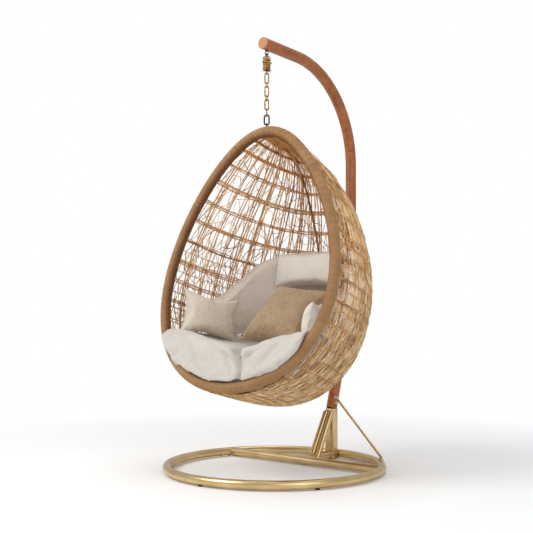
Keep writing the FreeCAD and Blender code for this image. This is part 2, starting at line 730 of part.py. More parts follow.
coil_radius = Size.barrel_radius + Size.link_gap + Size.rope_radius
coil_low = barrel_low - Size.rope_pitch * 0.9
coil_top = coil_low + Size.rope_turns * Size.rope_pitch
coil_path = Part.Wire(coil_biarcs(coil_radius, Size.rope_pitch, Size.rope_turns, coil_low))
coil_start = hanging(coil_low) + Vector(coil_radius, 0, 0)
coil_way = Vector(0, coil_radius, Size.rope_pitch / (2 * math.pi))
coil_profile = ring_of_points(coil_start, coil_way, Z_AXIS, Size.rope_radius, 6)
coil = coil_path.makePipeShell([coil_profile], True, False)
solid("jute_wrap", coil)
print("rope wrap: least gap to itself %.2f mm" % least_gap(coil_path, Size.rope_turns, Size.rope_radius))

# Chain: long links face the front, short ones stand across them

link_levels = []
above_wire = lower_wire
above_radius = Size.eye_wire
chain = [("chain_link_1", Size.long_link, ACROSS), ("chain_link_2", Size.short_link, ALONG),
         ("chain_link_3", Size.long_link, ACROSS), ("chain_link_4", Size.short_link, ALONG),
         ("chain_link_5", Size.long_link, ACROSS), ("chain_link_6", Size.last_link, ALONG)]
for label, length, across in chain:
    top_wire = above_wire + above_radius + Size.link_wire + Size.link_gap
    low_wire = top_wire - (length - 2 * Size.link_wire)
    solid(label, link(hanging((top_wire + low_wire) / 2), length, Size.link_width,
                      Size.link_wire, across))
    link_levels.append((label, above_wire))
    above_wire = low_wire
    above_radius = Size.link_wire
big_top_wire = above_wire + above_radius + Size.big_link_wire + Size.link_gap
big_low_wire = big_top_wire - (Size.big_link_length - 2 * Size.big_link_wire)
solid("big_link", link(hanging((big_top_wire + big_low_wire) / 2), Size.big_link_length,
                       Size.big_link_width, Size.big_link_wire, ACROSS))
link_levels.append(("big_link", above_wire))
link_levels.append(("basket", big_low_wire))

# Basket: an egg-shaped rim that leans back, and a deep bowl behind it

basket_eye_wire = big_low_wire + Size.big_link_wire + Size.link_wire + Size.link_gap
rim_top = big_low_wire - Size.big_link_wire - 2.0 - Size.rim_wrap_radius
tilt = math.radians(Size.rim_tilt)
RIM_DOWN = Vector(0, -math.sin(tilt), -math.cos(tilt))
RIM_BACK = Vector(0, math.cos(tilt), -math.sin(tilt))
rim_origin = hanging(rim_top)
shell_edge = Size.rim_wrap_radius + Size.link_gap


def rim_width(turn):
    """Half width of the egg outline; turn runs from 0 at the top to pi at the bottom."""
    lobe = 1 - Size.rim_egg * math.cos(turn) - Size.rim_egg_ends * math.cos(turn) ** 2
    return Size.rim_half_width * math.sin(turn) * lobe


def rim_point(turn, side):
    """A point of the rim's centre line on the left (+1) or right (-1) side."""
    width = rim_width(turn)
    back = Size.rim_bow * (width / Size.rim_half_width) ** 2
    down = Size.rim_length / 2 * (1 - math.cos(turn))
    return rim_origin + X_AXIS * (side * width) + RIM_DOWN * down + RIM_BACK * back


def bowl_depth(turn):
    """Depth of the bowl behind the rim's centre line."""
    fullness = max(math.sin(turn), 0.0) ** Size.basket_fullness
    return Size.basket_depth * fullness * (1 - Size.basket_lean * math.cos(turn))


def slope_shares(turn):
    """How much an inset grows where the bowl's width and depth change along the rim."""
    step = 0.01
    run = Size.rim_length / 2 * (math.cos(turn - step) - math.cos(turn + step))
    widening = (rim_width(turn + step) - rim_width(turn - step)) / run
    deepening = (bowl_depth(turn + step) - bowl_depth(turn - step)) / run
    return min(math.hypot(1, widening), 2.5), min(math.hypot(1, deepening), 2.5)


def bowl_point(turn, sweep, inset, edge):
    """A point of the bowl: sweep runs from 0 at the left edge to pi at the right edge."""
    power = 2 / Size.basket_section
    wide_share, deep_share = slope_shares(turn)
    width = max(rim_width(turn) - inset * wide_share, 1.0)
    cosine = math.cos(sweep)
    across = width * math.copysign(abs(cosine) ** power, cosine)
    full = bowl_depth(turn) - inset * deep_share
    reach = edge + (full - edge) * max(math.sin(sweep), 0.0) ** power
    bow = Size.rim_bow * (across / Size.rim_half_width) ** 2
    down = Size.rim_length / 2 * (1 - math.cos(turn))
    return rim_origin + X_AXIS * across + RIM_DOWN * down + RIM_BACK * (reach + bow)


def bowl_section(turn, inset, extend, steps=12):
    """A closed D across the bowl: a smooth curve, run on forwards by extend, and its chord."""
    points = [bowl_point(turn, math.pi * count / steps, inset, shell_edge) for count in range(steps + 1)]
    curve = Part.BSplineCurve()
    curve.interpolate(points)
    ahead = RIM_BACK * -extend
    corners = [points[-1], points[-1] + ahead, points[0] + ahead, points[0]]
    if extend == 0:
        corners = [points[-1], points[0]]
    lines = [Part.LineSegment(corners[count], corners[count + 1]).toShape()
             for count in range(len(corners) - 1)]
    return Part.Wire([curve.toShape()] + lines)


RIM_STATIONS = 26
rim_path = [rim_point(math.pi * count / RIM_STATIONS, 1) for count in range(RIM_STATIONS)]
rim_path += [rim_point(math.pi * (1 - count / RIM_STATIONS), -1) for count in range(RIM_STATIONS)]
rim_wrap = rod(rim_path, Size.rim_wrap_radius, 16, True, RIM_BACK)
rim_hole = rod(rim_path, Size.rim_tube_radius + Size.fit_gap, 10, True, RIM_BACK)
rim_tube = rod(rim_path, Size.rim_tube_radius, 10, True, RIM_BACK)
eye_well = Part.makeCylinder(Size.basket_eye_radius + Size.link_wire + 2.0, 40, rim_origin)
rim = solid("rim_wrap", rim_wrap.cut(rim_hole).cut(eye_well)).Shape
rim_bore = rod(rim_path, Size.rim_tube_radius - Size.rim_tube_wall, 10, True, RIM_BACK)
solid("rim_tube", rim_tube.cut(rim_bore))

basket_eye = link(hanging(basket_eye_wire - Size.basket_eye_radius),
                  2 * (Size.basket_eye_radius + Size.link_wire),
                  2 * (Size.basket_eye_radius + Size.link_wire), Size.link_wire, ALONG)
eye_foot = Part.makeCylinder(Size.link_wire + 2.0, 12, hanging(rim_top + Size.rim_tube_radius - 4))
eye_foot = eye_foot.cut(rim_tube)
basket_eye = basket_eye.cut(rim_tube).fuse(largest(eye_foot)).removeSplitter()
solid("basket_eye", largest(basket_eye))

shell_first = 0.10
shell_last = 3.04
shell_bands = 24
shell_turns = [shell_first + (shell_last - shell_first) * count / shell_bands
               for count in range(shell_bands + 1)]
outer = Part.makeLoft([bowl_section(turn, 0.0, 0.0) for turn in shell_turns], True, True)
inner_turns = [shell_first + 0.035] + shell_turns[1:-1] + [shell_last - 0.035]
inner = Part.makeLoft([bowl_section(turn, Size.shell_wall, 30.0) for turn in inner_turns], True, True)
shell = outer.cut(inner)
solid("weave_shell", largest(shell))


# Frame rods inside the weave: hoops against the shell, ribs inside the hoops

def inner_point(turn, across_share, inset, reach_share=1.0):
    """A point inside the bowl at a share of its width; reach_share 0 is at the rim."""
    wide_share, deep_share = slope_shares(turn)
    across = (rim_width(turn) - inset * wide_share) * across_share
    round_share = max(1 - abs(across_share) ** Size.basket_section, 0.0) ** (1 / Size.basket_section)
    full = (bowl_depth(turn) - inset * deep_share - shell_edge) * round_share
    bow = Size.rim_bow * (across / Size.rim_half_width) ** 2
    down = Size.rim_length / 2 * (1 - math.cos(turn))
    return (rim_origin + X_AXIS * across + RIM_DOWN * down
            + RIM_BACK * (shell_edge + full * reach_share + bow))


hoop_inset = Size.shell_wall + Size.rod_gap + Size.hoop_radius
rib_inset = hoop_inset + Size.hoop_radius + Size.rod_gap + Size.rib_radius
rib_first = 0.24
rib_last = 2.89
RIB_SHARES = {"rib_left_side": 0.84, "rib_left_back": 0.46, "rib_middle": 0.0,
              "rib_right_back": -0.46, "rib_right_side": -0.84}
rods = []
for label, share in RIB_SHARES.items():
    path = [inner_point(rib_first, share, rib_inset, lead) for lead in (0.0, 0.4, 0.8)]
    path += [inner_point(rib_first + (rib_last - rib_first) * (count + 0.7) / 14, share, rib_inset)
             for count in range(14)]
    path += [inner_point(rib_last, share, rib_inset, lead) for lead in (0.8, 0.4, 0.0)]
    rods.append(solid(label, rod(path, Size.rib_radius, 6, False, X_AXIS)).Shape)

for number, turn in enumerate(shell_turns[3:-1:3]):
    path = [bowl_point(turn, math.pi * count / 18, hoop_inset, shell_edge) for count in range(19)]
    rods.append(solid("hoop_%d" % (number + 1), rod(path, Size.hoop_radius, 6, False, RIM_DOWN)).Shape)


# Cushions: crowned closed forms with drawn-in sides

def square_outline(half_width, half_height, height, draw):
    """Four arcs between corners, each drawn in (or out, if negative) at its middle."""
    corners = [Vector(half_width, height, half_height), Vector(-half_width, height, half_height),
               Vector(-half_width, height, -half_height), Vector(half_width, height, -half_height)]
    arcs = []
    for count, corner in enumerate(corners):
        after = corners[(count + 1) % 4]
        middle = (corner + after) * 0.5
        inward = (Vector(0, height, 0) - middle) * draw
        arcs.append(Part.Arc(corner, middle + inward, after).toShape())
    return Part.Wire(arcs)


CROWN_LEVELS = [(-0.5, 0.34), (-0.40, 0.70), (-0.20, 0.93), (0.0, 1.0), (0.20, 0.93), (0.40, 0.70), (0.5, 0.34)]


def pillow(label, width, height, thickness, centre, yaw, lean, roll):
    """A square pillow, crowned on both faces, its sides drawn in between the corners."""
    outlines = []
    for level, scale in CROWN_LEVELS:
        draw = 0.09 - 0.32 * (1 - scale)
        outlines.append(square_outline(width / 2 * scale, height / 2 * scale, level * thickness, draw))
    shape = Part.makeLoft(outlines, True, True)
    turn = Rotation(Z_AXIS, yaw).multiply(Rotation(X_AXIS, lean)).multiply(Rotation(Y_AXIS, roll))
    solid(label, shape, Placement(hang + centre, turn))


def above_trough(low, rise, half_width):
    """A long cylinder along Y whose lowest line is at low and which rises by rise at half_width."""
    radius = (half_width ** 2 + rise ** 2) / (2 * rise)
    return Part.makeCylinder(radius, 2 * CLEAR_OF_ALL, Vector(0, -CLEAR_OF_ALL, low + radius), Y_AXIS)


def side_profile(points):
    """The space above a curve seen from the side, and in front of its first point, right across."""
    spots = [Vector(-CLEAR_OF_ALL, y, z) for y, z in points]
    curve = Part.BSplineCurve()
    curve.interpolate(spots)
    corners = [spots[-1], Vector(-CLEAR_OF_ALL, spots[-1].y, CLEAR_OF_ALL * 2),
               Vector(-CLEAR_OF_ALL, -CLEAR_OF_ALL, CLEAR_OF_ALL * 2), Vector(-CLEAR_OF_ALL, -CLEAR_OF_ALL, 0),
               Vector(-CLEAR_OF_ALL, spots[0].y, 0), spots[0]]
    lines = [Part.LineSegment(corners[count], corners[count + 1]).toShape()
             for count in range(len(corners) - 1)]
    face = Part.Face(Part.Wire([curve.toShape()] + lines))
    return face.extrude(X_AXIS * (2 * CLEAR_OF_ALL))


CLEAR_OF_ALL = 1000.0
cushion_inset = rib_inset + Size.rib_radius + Size.soft_gap

# the seat: the bowl's lower part, filled up to a trough, its front bulged between the rim's sides
SEAT_SECTIONS = [(1.80, 36.0), (2.05, 38.0), (2.30, 38.0), (2.50, 36.0), (2.65, 26.0), (2.78, 10.0), (2.88, 1.0)]
seat_form = Part.makeLoft([bowl_section(turn, cushion_inset, bulge) for turn, bulge in SEAT_SECTIONS],
                          True, True)
behind_seat = Part.makeBox(2 * CLEAR_OF_ALL, CLEAR_OF_ALL, 2 * CLEAR_OF_ALL,
                           Vector(-CLEAR_OF_ALL, Size.seat_back, 0))
seat_form = seat_form.cut(above_trough(Size.seat_height, Size.seat_side_rise, Size.seat_half_width))
solid("seat_cushion", largest(seat_form.cut(behind_seat).cut(rods + [rim])))

# the back: a pad that follows the bowl round, highest behind the sitter and lower at the sides
BACK_TURNS = [1.10, 1.35, 1.60, 1.85, 2.10, 2.30, 2.45]
BACK_TOP = [(-110, 745), (-75, 772), (-20, 800), (40, 842), (100, 895), (160, 955), (250, 1000), (450, 1030)]
back_outside = Part.makeLoft([bowl_section(turn, cushion_inset, 2.0) for turn in BACK_TURNS], True, True)
back_inside = Part.makeLoft([bowl_section(turn, cushion_inset + Size.back_thickness, 250.0)
                             for turn in BACK_TURNS], True, True)
back_form = back_outside.cut(back_inside).cut(side_profile(BACK_TOP))
seat_side_top = Size.seat_height + Size.seat_side_rise + Size.back_over_seat
under_sides = Part.makeBox(2 * CLEAR_OF_ALL, CLEAR_OF_ALL + Size.seat_back + Size.back_gap, seat_side_top,
                           Vector(-CLEAR_OF_ALL, -CLEAR_OF_ALL, 0))
under_back = Part.makeBox(2 * CLEAR_OF_ALL, 2 * CLEAR_OF_ALL, Size.back_low,
                          Vector(-CLEAR_OF_ALL, -CLEAR_OF_ALL, 0))
solid("back_cushion", largest(back_form.cut(under_sides).cut(under_back).cut(rods)))

HEAD_PLACE = Vector(0, 311.9, 912)
HEAD_LEAN = -8
TAN_PLACE = Vector(30, 110, 696)
TAN_LEAN = -44
TAN_ROLL = 8
SIDE_OUT, SIDE_BACK, SIDE_UP = 285, -45, 702.1
SIDE_YAW = 66
SIDE_LEAN = -12
pillow("head_pillow", Size.head_width, Size.head_height, Size.head_thickness,
       HEAD_PLACE, 0, HEAD_LEAN, 0)
pillow("tan_pillow", Size.tan_width, Size.tan_height, Size.tan_thickness,
       TAN_PLACE, 0, TAN_LEAN, TAN_ROLL)
pillow("left_pillow", Size.side_width, Size.side_height, Size.side_thickness,
       Vector(SIDE_OUT, SIDE_BACK, SIDE_UP), -SIDE_YAW, SIDE_LEAN, 0)
pillow("right_pillow", Size.side_width, Size.side_height, Size.side_thickness,
       Vector(-SIDE_OUT, SIDE_BACK, SIDE_UP), SIDE_YAW, SIDE_LEAN, 0)

doc.recompute()
os.makedirs("parts", exist_ok=True)
failed = [obj.Name for obj in doc.Objects if "Invalid" in obj.State or "Error" in obj.State]
if failed:
    raise RuntimeError("failed objects: " + ", ".join(failed))
broken = [obj.Label for obj in NODES if obj.Shape.isNull() or not obj.Shape.isValid()]
if broken:
    raise RuntimeError("pieces with no valid shape: " + ", ".join(broken))
for obj in NODES:
    obj.Shape.exportStep(os.path.join("parts", obj.Label + ".step"))
for label, height in [("swivel_eye", swing_top)] + link_levels:
    print("%s hangs from a wire at z = %.4f" % (label, height))
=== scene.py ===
"""The finished look of a hanging egg chair: an open cane basket with cushions, hung by a chain
from a bent wooden post on a gold tube base. Metres, +Z up, the chair faces -Y."""

import json
import logging
import random
from bisect import bisect_left
from dataclasses import dataclass
from enum import Enum
from math import asin, copysign, cos, exp, pi, radians, sin, sqrt, tau

import bmesh
import bpy
from mathutils import Euler, Matrix, Vector
from mathutils.kdtree import KDTree

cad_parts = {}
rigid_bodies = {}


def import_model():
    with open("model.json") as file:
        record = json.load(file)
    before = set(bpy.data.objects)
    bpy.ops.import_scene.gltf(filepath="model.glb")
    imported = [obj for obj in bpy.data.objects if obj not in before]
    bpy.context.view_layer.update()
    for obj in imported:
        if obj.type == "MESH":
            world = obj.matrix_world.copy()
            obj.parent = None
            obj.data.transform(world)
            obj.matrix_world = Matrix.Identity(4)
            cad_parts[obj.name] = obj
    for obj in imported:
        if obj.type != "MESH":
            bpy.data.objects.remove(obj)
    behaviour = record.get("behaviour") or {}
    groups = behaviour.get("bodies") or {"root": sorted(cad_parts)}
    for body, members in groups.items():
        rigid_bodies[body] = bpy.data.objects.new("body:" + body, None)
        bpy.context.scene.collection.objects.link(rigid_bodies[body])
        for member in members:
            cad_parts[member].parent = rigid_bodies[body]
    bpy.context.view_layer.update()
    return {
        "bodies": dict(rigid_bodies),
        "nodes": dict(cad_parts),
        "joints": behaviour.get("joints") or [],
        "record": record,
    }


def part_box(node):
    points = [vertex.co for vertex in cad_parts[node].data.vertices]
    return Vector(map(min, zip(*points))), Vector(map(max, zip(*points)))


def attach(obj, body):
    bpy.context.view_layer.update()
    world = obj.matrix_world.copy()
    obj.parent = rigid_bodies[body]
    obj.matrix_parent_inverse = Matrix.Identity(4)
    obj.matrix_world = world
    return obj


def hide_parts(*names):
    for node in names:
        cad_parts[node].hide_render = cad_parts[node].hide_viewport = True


Material = bpy.types.Material
Mesh = bpy.types.Mesh
Object = bpy.types.Object
Socket = bpy.types.NodeSocket

log = logging.getLogger("egg_chair")

X_AXIS = Vector((1, 0, 0))
Z_AXIS = Vector((0, 0, 1))
HANG_Y = -0.1215
CHAIN_TURN = radians(39)
ACROSS = Vector((cos(CHAIN_TURN), sin(CHAIN_TURN), 0))
ALONG = Vector((-sin(CHAIN_TURN), cos(CHAIN_TURN), 0))
WHITE = (1, 1, 1, 1)


class Body(Enum):
    """The bodies of the frame that pieces ride on."""

    STAND = "stand"
    SWIVEL = "swivel_body"
    LINK_1 = "link_1"
    LINK_2 = "link_2"
    LINK_3 = "link_3"
    LINK_4 = "link_4"
    LINK_5 = "link_5"
    LINK_6 = "link_6"
    BIG_LINK = "big_link"
    BASKET = "basket"


def clamp(value: float, low: float = 0.0, high: float = 1.0) -> float:
    """A value kept between two limits."""
    return min(max(value, low), high)


def between(first: float, last: float, share: float) -> float:
    """A value at a share of the way from one to another."""
    return first + (last - first) * share


def rise(value: float, low: float, high: float) -> float:
    """A smooth step from 0 at low to 1 at high."""
    share = clamp((value - low) / (high - low))
    return share * share * (3 - 2 * share)


def bell(value: float, width: float) -> float:
    """A smooth hump: 1 at 0, and nearly 0 from twice the width on."""
    return exp(-(value / width) ** 2)


def round_about(angle: float, reach: float, height: float) -> Vector:
    """A point round an upright axis."""
    return Vector((reach * cos(angle), reach * sin(angle), height))


def runs_of(points: list[Vector]) -> list[float]:
    """The length along a line at each of its points."""
    runs = [0.0]
    for before, after in zip(points, points[1:]):
        runs.append(runs[-1] + (after - before).length)
    return runs


def place_at(runs: list[float], want: float) -> tuple[int, float]:
    """Which stretch of a line a run falls in, and its share of that stretch."""
    after = bisect_left(runs, want, 1)
    return after - 1, (want - runs[after - 1]) / (runs[after] - runs[after - 1])


def finder_of(points: list[Vector]) -> KDTree:
    """A search for the point of a line that is nearest to a spot."""
    finder = KDTree(len(points))
    for number, spot in enumerate(points):
        finder.insert(spot, number)
    finder.balance()
    return finder


def paint(red: int, green: int, blue: int) -> tuple[float, ...]:
    """A screen colour, each part from 0 to 255, as the linear colour that shaders take."""
    shares = [value / 255 for value in (red, green, blue)]
    return (*(share / 12.92 if share <= 0.04045 else ((share + 0.055) / 1.055) ** 2.4
              for share in shares), 1.0)


class Shader:
    """A material with short ways to add and join its nodes."""

    def __init__(self, name: str) -> None:
        """Starts a material of that name with its surface shader."""
        self.material = bpy.data.materials.new(name)
        self.material.use_nodes = True
        self.tree = self.material.node_tree
        self.surface = self.tree.nodes["Principled BSDF"]

    def add(self, kind: str, inputs: dict | None = None, **settings: object) -> bpy.types.Node:
        """Adds a node.

        Args:
            kind: the node's type name, without its Shader Node prefix.
            inputs: values or sockets for its inputs, by name or number.
            settings: attributes of the node.

        Returns:
            The node.
        """
        node = self.tree.nodes.new("ShaderNode" + kind)
        for name, value in settings.items():
            setattr(node, name, value)
        for name, value in (inputs or {}).items():
            self.join(value, node.inputs[name])
        return node

    def join(self, value: object, socket: Socket) -> None:
        """Links a socket, or sets a plain value, on an input."""
        if isinstance(value, Socket):
            self.tree.links.new(value, socket)
        else:
            socket.default_value = value

    def place(self) -> Socket:
        """The point in the object's own coordinates."""
        return self.add("TexCoord").outputs["Object"]

    def lay(self) -> Socket:
        """The piece's own UV map: round the strand, then along it."""
        return self.add("UVMap").outputs["UV"]

    def scaled(self, source: Socket, *scale: float) -> Socket:
        """Coordinates scaled along the three axes."""
        return self.add("Mapping", {"Vector": source, "Scale": scale}).outputs["Vector"]

    def noise(self, vector: Socket, scale: float, detail: float = 2.0, roughness: float = 0.5) -> Socket:
        """A noise value from 0 to 1."""
        return self.add("TexNoise", {"Vector": vector, "Scale": scale, "Detail": detail,
                                     "Roughness": roughness}).outputs["Fac"]

    def math(self, operation: str, first: object, second: object = 0.0) -> Socket:
        """Arithmetic on two values."""
        return self.add("Math", {0: first, 1: second}, operation=operation).outputs[0]

    def weigh(self, first: Socket, share: float, second: Socket) -> Socket:
        """The sum of two values, the first by its share and the second by the rest."""
        return self.math("ADD", self.math("MULTIPLY", first, share),
                         self.math("MULTIPLY", second, 1 - share))

    def ramp(self, value: Socket, *stops: tuple) -> Socket:
        """Turns a value into a colour through stops: a position and a screen colour each."""
        node = self.add("ValToRGB", {"Fac": value})
        elements = node.color_ramp.elements
        while len(elements) < len(stops):
            elements.new(0.5)
        for element, (position, colour) in zip(elements, stops):
            element.position = position
            element.color = paint(*colour)
        return node.outputs["Color"]

    def shade(self, share: object, first: Socket, second: object) -> Socket:
        """Darkens a colour by a share of another."""
        node = self.add("Mix", data_type="RGBA", blend_type="MULTIPLY")
        self.join(share, node.inputs["Factor"])
        self.join(first, node.inputs[6])
        self.join(second, node.inputs[7])
        return node.outputs[2]

    def bump(self, height: Socket, strength: float, distance: float) -> None:
        """Raises the surface by a height pattern."""
        node = self.add("Bump", {"Height": height, "Strength": strength, "Distance": distance})
        self.tree.links.new(node.outputs["Normal"], self.surface.inputs["Normal"])

    def finish(self, colour: object, roughness: object, metallic: float = 0.0,
               **extra: object) -> Material:
        """Sets the surface's colour, roughness and other plain values."""
        self.join(colour, self.surface.inputs["Base Color"])
        self.join(roughness, self.surface.inputs["Roughness"])
        self.surface.inputs["Metallic"].default_value = metallic
        for name, value in extra.items():
            self.surface.inputs[name.replace("_", " ")].default_value = value
        return self.material


@dataclass(frozen=True)
class Metal:
    """Painted or plated metal with fine polishing marks."""

    name: str
    light: tuple
    dark: tuple
    roughness: float
    streaks: float = 180.0
    marks: float = 0.05

    def build(self) -> Material:
        """Returns the material."""
        shader = Shader(self.name)
        place = shader.place()
        cloud = shader.noise(place, 9.0, 4.0)
        fine = shader.noise(shader.scaled(place, 1, 1, 6), self.streaks, 3.0)
        colour = shader.ramp(cloud, (0.35, self.dark), (0.65, self.light))
        rough = shader.math("MULTIPLY_ADD", fine, 0.12)
        rough.node.inputs[2].default_value = self.roughness - 0.06
        shader.bump(fine, self.marks, 0.0004)
        return shader.finish(colour, rough, 1.0)


@dataclass(frozen=True)
class StainedWood:
    """Stained bent wood whose grain runs along the post."""

    name: str
    pale: tuple
    warm: tuple
    deep: tuple
    length: float

    def build(self) -> Material:
        """Returns the material."""
        shader = Shader(self.name)
        parts = shader.add("SeparateXYZ", {0: shader.lay()})
        angle = shader.math("MULTIPLY", parts.outputs["X"], tau)
        run = shader.math("MULTIPLY", parts.outputs["Y"], self.length)
        across = shader.math("COSINE", angle)
        beside = shader.math("SINE", angle)
        spot = shader.add("CombineXYZ", {"X": across, "Y": beside, "Z": run}).outputs[0]
        bands = shader.noise(shader.scaled(spot, 1.6, 1.6, 0.9), 1.3, 5.0, 0.6)
        grain = shader.noise(shader.scaled(spot, 26, 26, 2.2), 1.0, 6.0, 0.65)
        pores = shader.noise(shader.scaled(spot, 60, 60, 14), 1.0)
        colour = shader.ramp(bands, (0.25, self.deep), (0.5, self.warm), (0.78, self.pale))
        streak = shader.ramp(grain, (0.32, (176, 138, 104)), (0.62, (255, 255, 255)))
        colour = shader.shade(0.6, colour, streak)
        pore = shader.ramp(pores, (0.30, (176, 144, 118)), (0.42, (255, 255, 255)))
        colour = shader.shade(0.4, colour, pore)
        shader.bump(grain, 0.25, 0.0006)
        return shader.finish(colour, 0.42, Coat_Weight=0.15, Coat_Roughness=0.3)


@dataclass(frozen=True)
class EndGrain:
    """The sawn end of the arm, with its rings."""

    name: str
    centre: Vector
    pale: tuple
    deep: tuple

    def build(self) -> Material:
        """Returns the material."""
        shader = Shader(self.name)
        moved = shader.add("Mapping", {"Vector": shader.place(), "Location": -self.centre}).outputs[0]
        wobble = shader.noise(moved, 60, 3.0)
        rings = shader.add("TexWave", {"Vector": moved, "Scale": 70.0, "Distortion": 1.2, "Detail": 2.0},
                           wave_type="RINGS", rings_direction="Y").outputs["Fac"]
        mixed = shader.weigh(rings, 0.6, wobble)
        colour = shader.ramp(mixed, (0.2, self.deep), (0.8, self.pale))
        shader.bump(mixed, 0.2, 0.0004)
        return shader.finish(colour, 0.6)


@dataclass(frozen=True)
class Cane:
    """Split cane or straw, with fibres along each strand."""

    name: str
    pale: tuple
    warm: tuple
    deep: tuple
    roughness: float = 0.55
    patch: float = 22.0

    def build(self) -> Material:
        """Returns the material."""
        shader = Shader(self.name)
        place = shader.place()
        broad = shader.noise(place, self.patch, 3.0, 0.6)
        fine = shader.noise(place, 240.0)
        colour = shader.ramp(shader.weigh(broad, 0.7, fine), (0.36, self.deep), (0.5, self.warm),
                             (0.64, self.pale))
        fibres = shader.noise(shader.scaled(shader.lay(), 9, 1.5, 1), 4.0, 3.0)
        shader.bump(fibres, 0.35, 0.0005)
        return shader.finish(colour, self.roughness, Specular_IOR_Level=0.35)


@dataclass(frozen=True)
class Binding:
    """Fine cane wound side by side: each turn has its own tone, and the side to the seat is darkened
    browner by painted shade.
    """

    name: str
    pale: tuple
    warm: tuple
    deep: tuple
    # the colour of the painted shade multiplied over the side to the seat
    inner: tuple
    turns: int

    def build(self) -> Material:
        """Returns the material."""
        shader = Shader(self.name)
        parts = shader.add("SeparateXYZ", {0: shader.lay()})
        turn = shader.math("MULTIPLY", parts.outputs["Y"], self.turns)
        each = shader.add("TexNoise", {"W": turn, "Scale": 0.55, "Detail": 2.0, "Roughness": 0.7},
                          noise_dimensions="1D").outputs["Fac"]
        patch = shader.noise(shader.place(), 12.0, 3.0)
        colour = shader.ramp(shader.weigh(each, 0.8, patch), (0.36, self.deep), (0.5, self.warm),
                             (0.62, self.pale))
        # Painted shade: the side to the seat, as marked by the rim, is darkened towards the inner colour.
        side = shader.add("Attribute", attribute_name="inner").outputs["Fac"]
        colour = shader.shade(shader.math("MULTIPLY", side, 0.75), colour, paint(*self.inner))
        fibres = shader.noise(shader.scaled(shader.lay(), 6, 900, 1), 4.0, 3.0)
        shader.bump(fibres, 0.3, 0.0005)
        return shader.finish(colour, 0.6, Specular_IOR_Level=0.3)


@dataclass(frozen=True)
class Linen:
    """Woven cloth with slubs in both directions."""

    name: str
    colour: tuple
    shade: tuple
    thread: float = 900.0
    depth: float = 0.5

    def build(self) -> Material:
        """Returns the material."""
        shader = Shader(self.name)
        place = shader.place()
        slub = self.thread * 0.10
        warp = shader.noise(shader.scaled(place, self.thread, slub, slub), 1.0)
        weft = shader.noise(shader.scaled(place, slub, slub, self.thread), 1.0)
        cloth = shader.math("MULTIPLY", shader.math("ADD", warp, weft), 0.5)
        blotch = shader.noise(place, 14.0, 3.0)
        colour = shader.ramp(shader.weigh(cloth, 0.75, blotch), (0.38, self.shade), (0.56, self.colour))
        shader.bump(cloth, self.depth, 0.0012)
        return shader.finish(colour, 0.9, Sheen_Weight=0.25, Sheen_Roughness=0.5, Specular_IOR_Level=0.2)


@dataclass(frozen=True)
class Rubber:
    """Plain dark rubber with a fine moulded surface."""

    name: str
    dark: tuple
    light: tuple

    def build(self) -> Material:
        """Returns the material."""
        shader = Shader(self.name)
        speck = shader.noise(shader.place(), 700.0)
        colour = shader.ramp(speck, (0.3, self.dark), (0.7, self.light))
        shader.bump(speck, 0.2, 0.0003)
        return shader.finish(colour, 0.75)


class Palette:
    """Every finish of the chair, built once. Colours are screen colours."""

    def __init__(self) -> None:
        """Builds the finishes."""
        self.gold = Metal("brushed_gold", (226, 200, 154), (206, 178, 128), 0.30).build()
        self.plated = Metal("bright_plating", (190, 190, 188), (165, 164, 160), 0.3).build()
        self.brass = Metal("aged_brass_links", (186, 146, 86), (140, 100, 54), 0.36, 60.0, 0.2).build()
        self.bronze = Metal("dark_bronze", (84, 66, 48), (46, 36, 28), 0.38, 60.0, 0.2).build()
        self.blackened = Metal("blackened_steel", (92, 92, 92), (48, 48, 50), 0.34).build()
        self.rubber = Rubber("black_rubber", (38, 36, 34), (58, 54, 50)).build()
        self.jute = Cane("jute", (206, 172, 110), (172, 132, 70), (128, 92, 44), 0.85, 60.0).build()
        # The binding's fourth colour is painted shade for its side to the seat.
        self.binding = Binding("rim_binding", (200, 162, 118), (172, 130, 86), (136, 96, 56),
                               (152, 108, 66), 690).build()
        self.canes = [
            Cane("cane_warm", (230, 184, 126), (210, 156, 98), (180, 126, 72)).build(),
            Cane("cane_pale", (246, 220, 178), (232, 196, 148), (206, 164, 112)).build(),
            Cane("cane_dark", (178, 122, 72), (152, 98, 52), (122, 76, 38)).build(),
        ]
        self.rib = Cane("rib_brown", (172, 118, 70), (146, 96, 54), (118, 74, 38)).build()
        self.straws = [
            Cane("straw_pale", (247, 228, 192), (235, 208, 164), (214, 180, 132), 0.6).build(),
            Cane("straw_warm", (234, 202, 150), (216, 178, 124), (190, 148, 96), 0.6).build(),
            Cane("straw_brown", (204, 160, 106), (176, 130, 80), (142, 100, 58), 0.6).build(),
        ]
        self.cream = Linen("cream_linen", (209, 203, 196), (190, 183, 174)).build()
        self.taupe = Linen("taupe_linen", (232, 223, 212), (212, 201, 188)).build()
        self.oat = Linen("oat_linen", (229, 223, 214), (210, 202, 191)).build()
        self.tan = Linen("tan_linen", (176, 151, 120), (146, 120, 90), 500.0, 0.8).build()
        self.grey = Linen("grey_linen", (214, 203, 187), (190, 177, 159), 700.0).build()


def show(name: str, data: bpy.types.ID) -> Object:
    """Makes an object of its data and links it to the scene."""
    made = bpy.data.objects.new(name, data)
    bpy.context.scene.collection.objects.link(made)
    return made


def link_mesh(mesh: Mesh, *materials: Material) -> Object:
    """Makes a piece of a mesh in the row frame, named like it, with its material slots."""
    mesh.materials.clear()
    for material in materials:
        mesh.materials.append(material)
    return show(mesh.name, mesh)


def mesh_of(bm: bmesh.types.BMesh, name: str, smooth: bool = True) -> Mesh:
    """Closes a bmesh into a mesh with even normals."""
    bmesh.ops.recalc_face_normals(bm, faces=bm.faces)
    for face in bm.faces:
        face.smooth = smooth
    mesh = bpy.data.meshes.new(name)
    bm.to_mesh(mesh)
    bm.free()
    return mesh


@dataclass
class Strand:
    """One cane, straw or cord: the points it follows, its radius and its tint."""

    points: list
    radius: float
    tint: int = 0
    closed: bool = False
    taper: float = 1.0


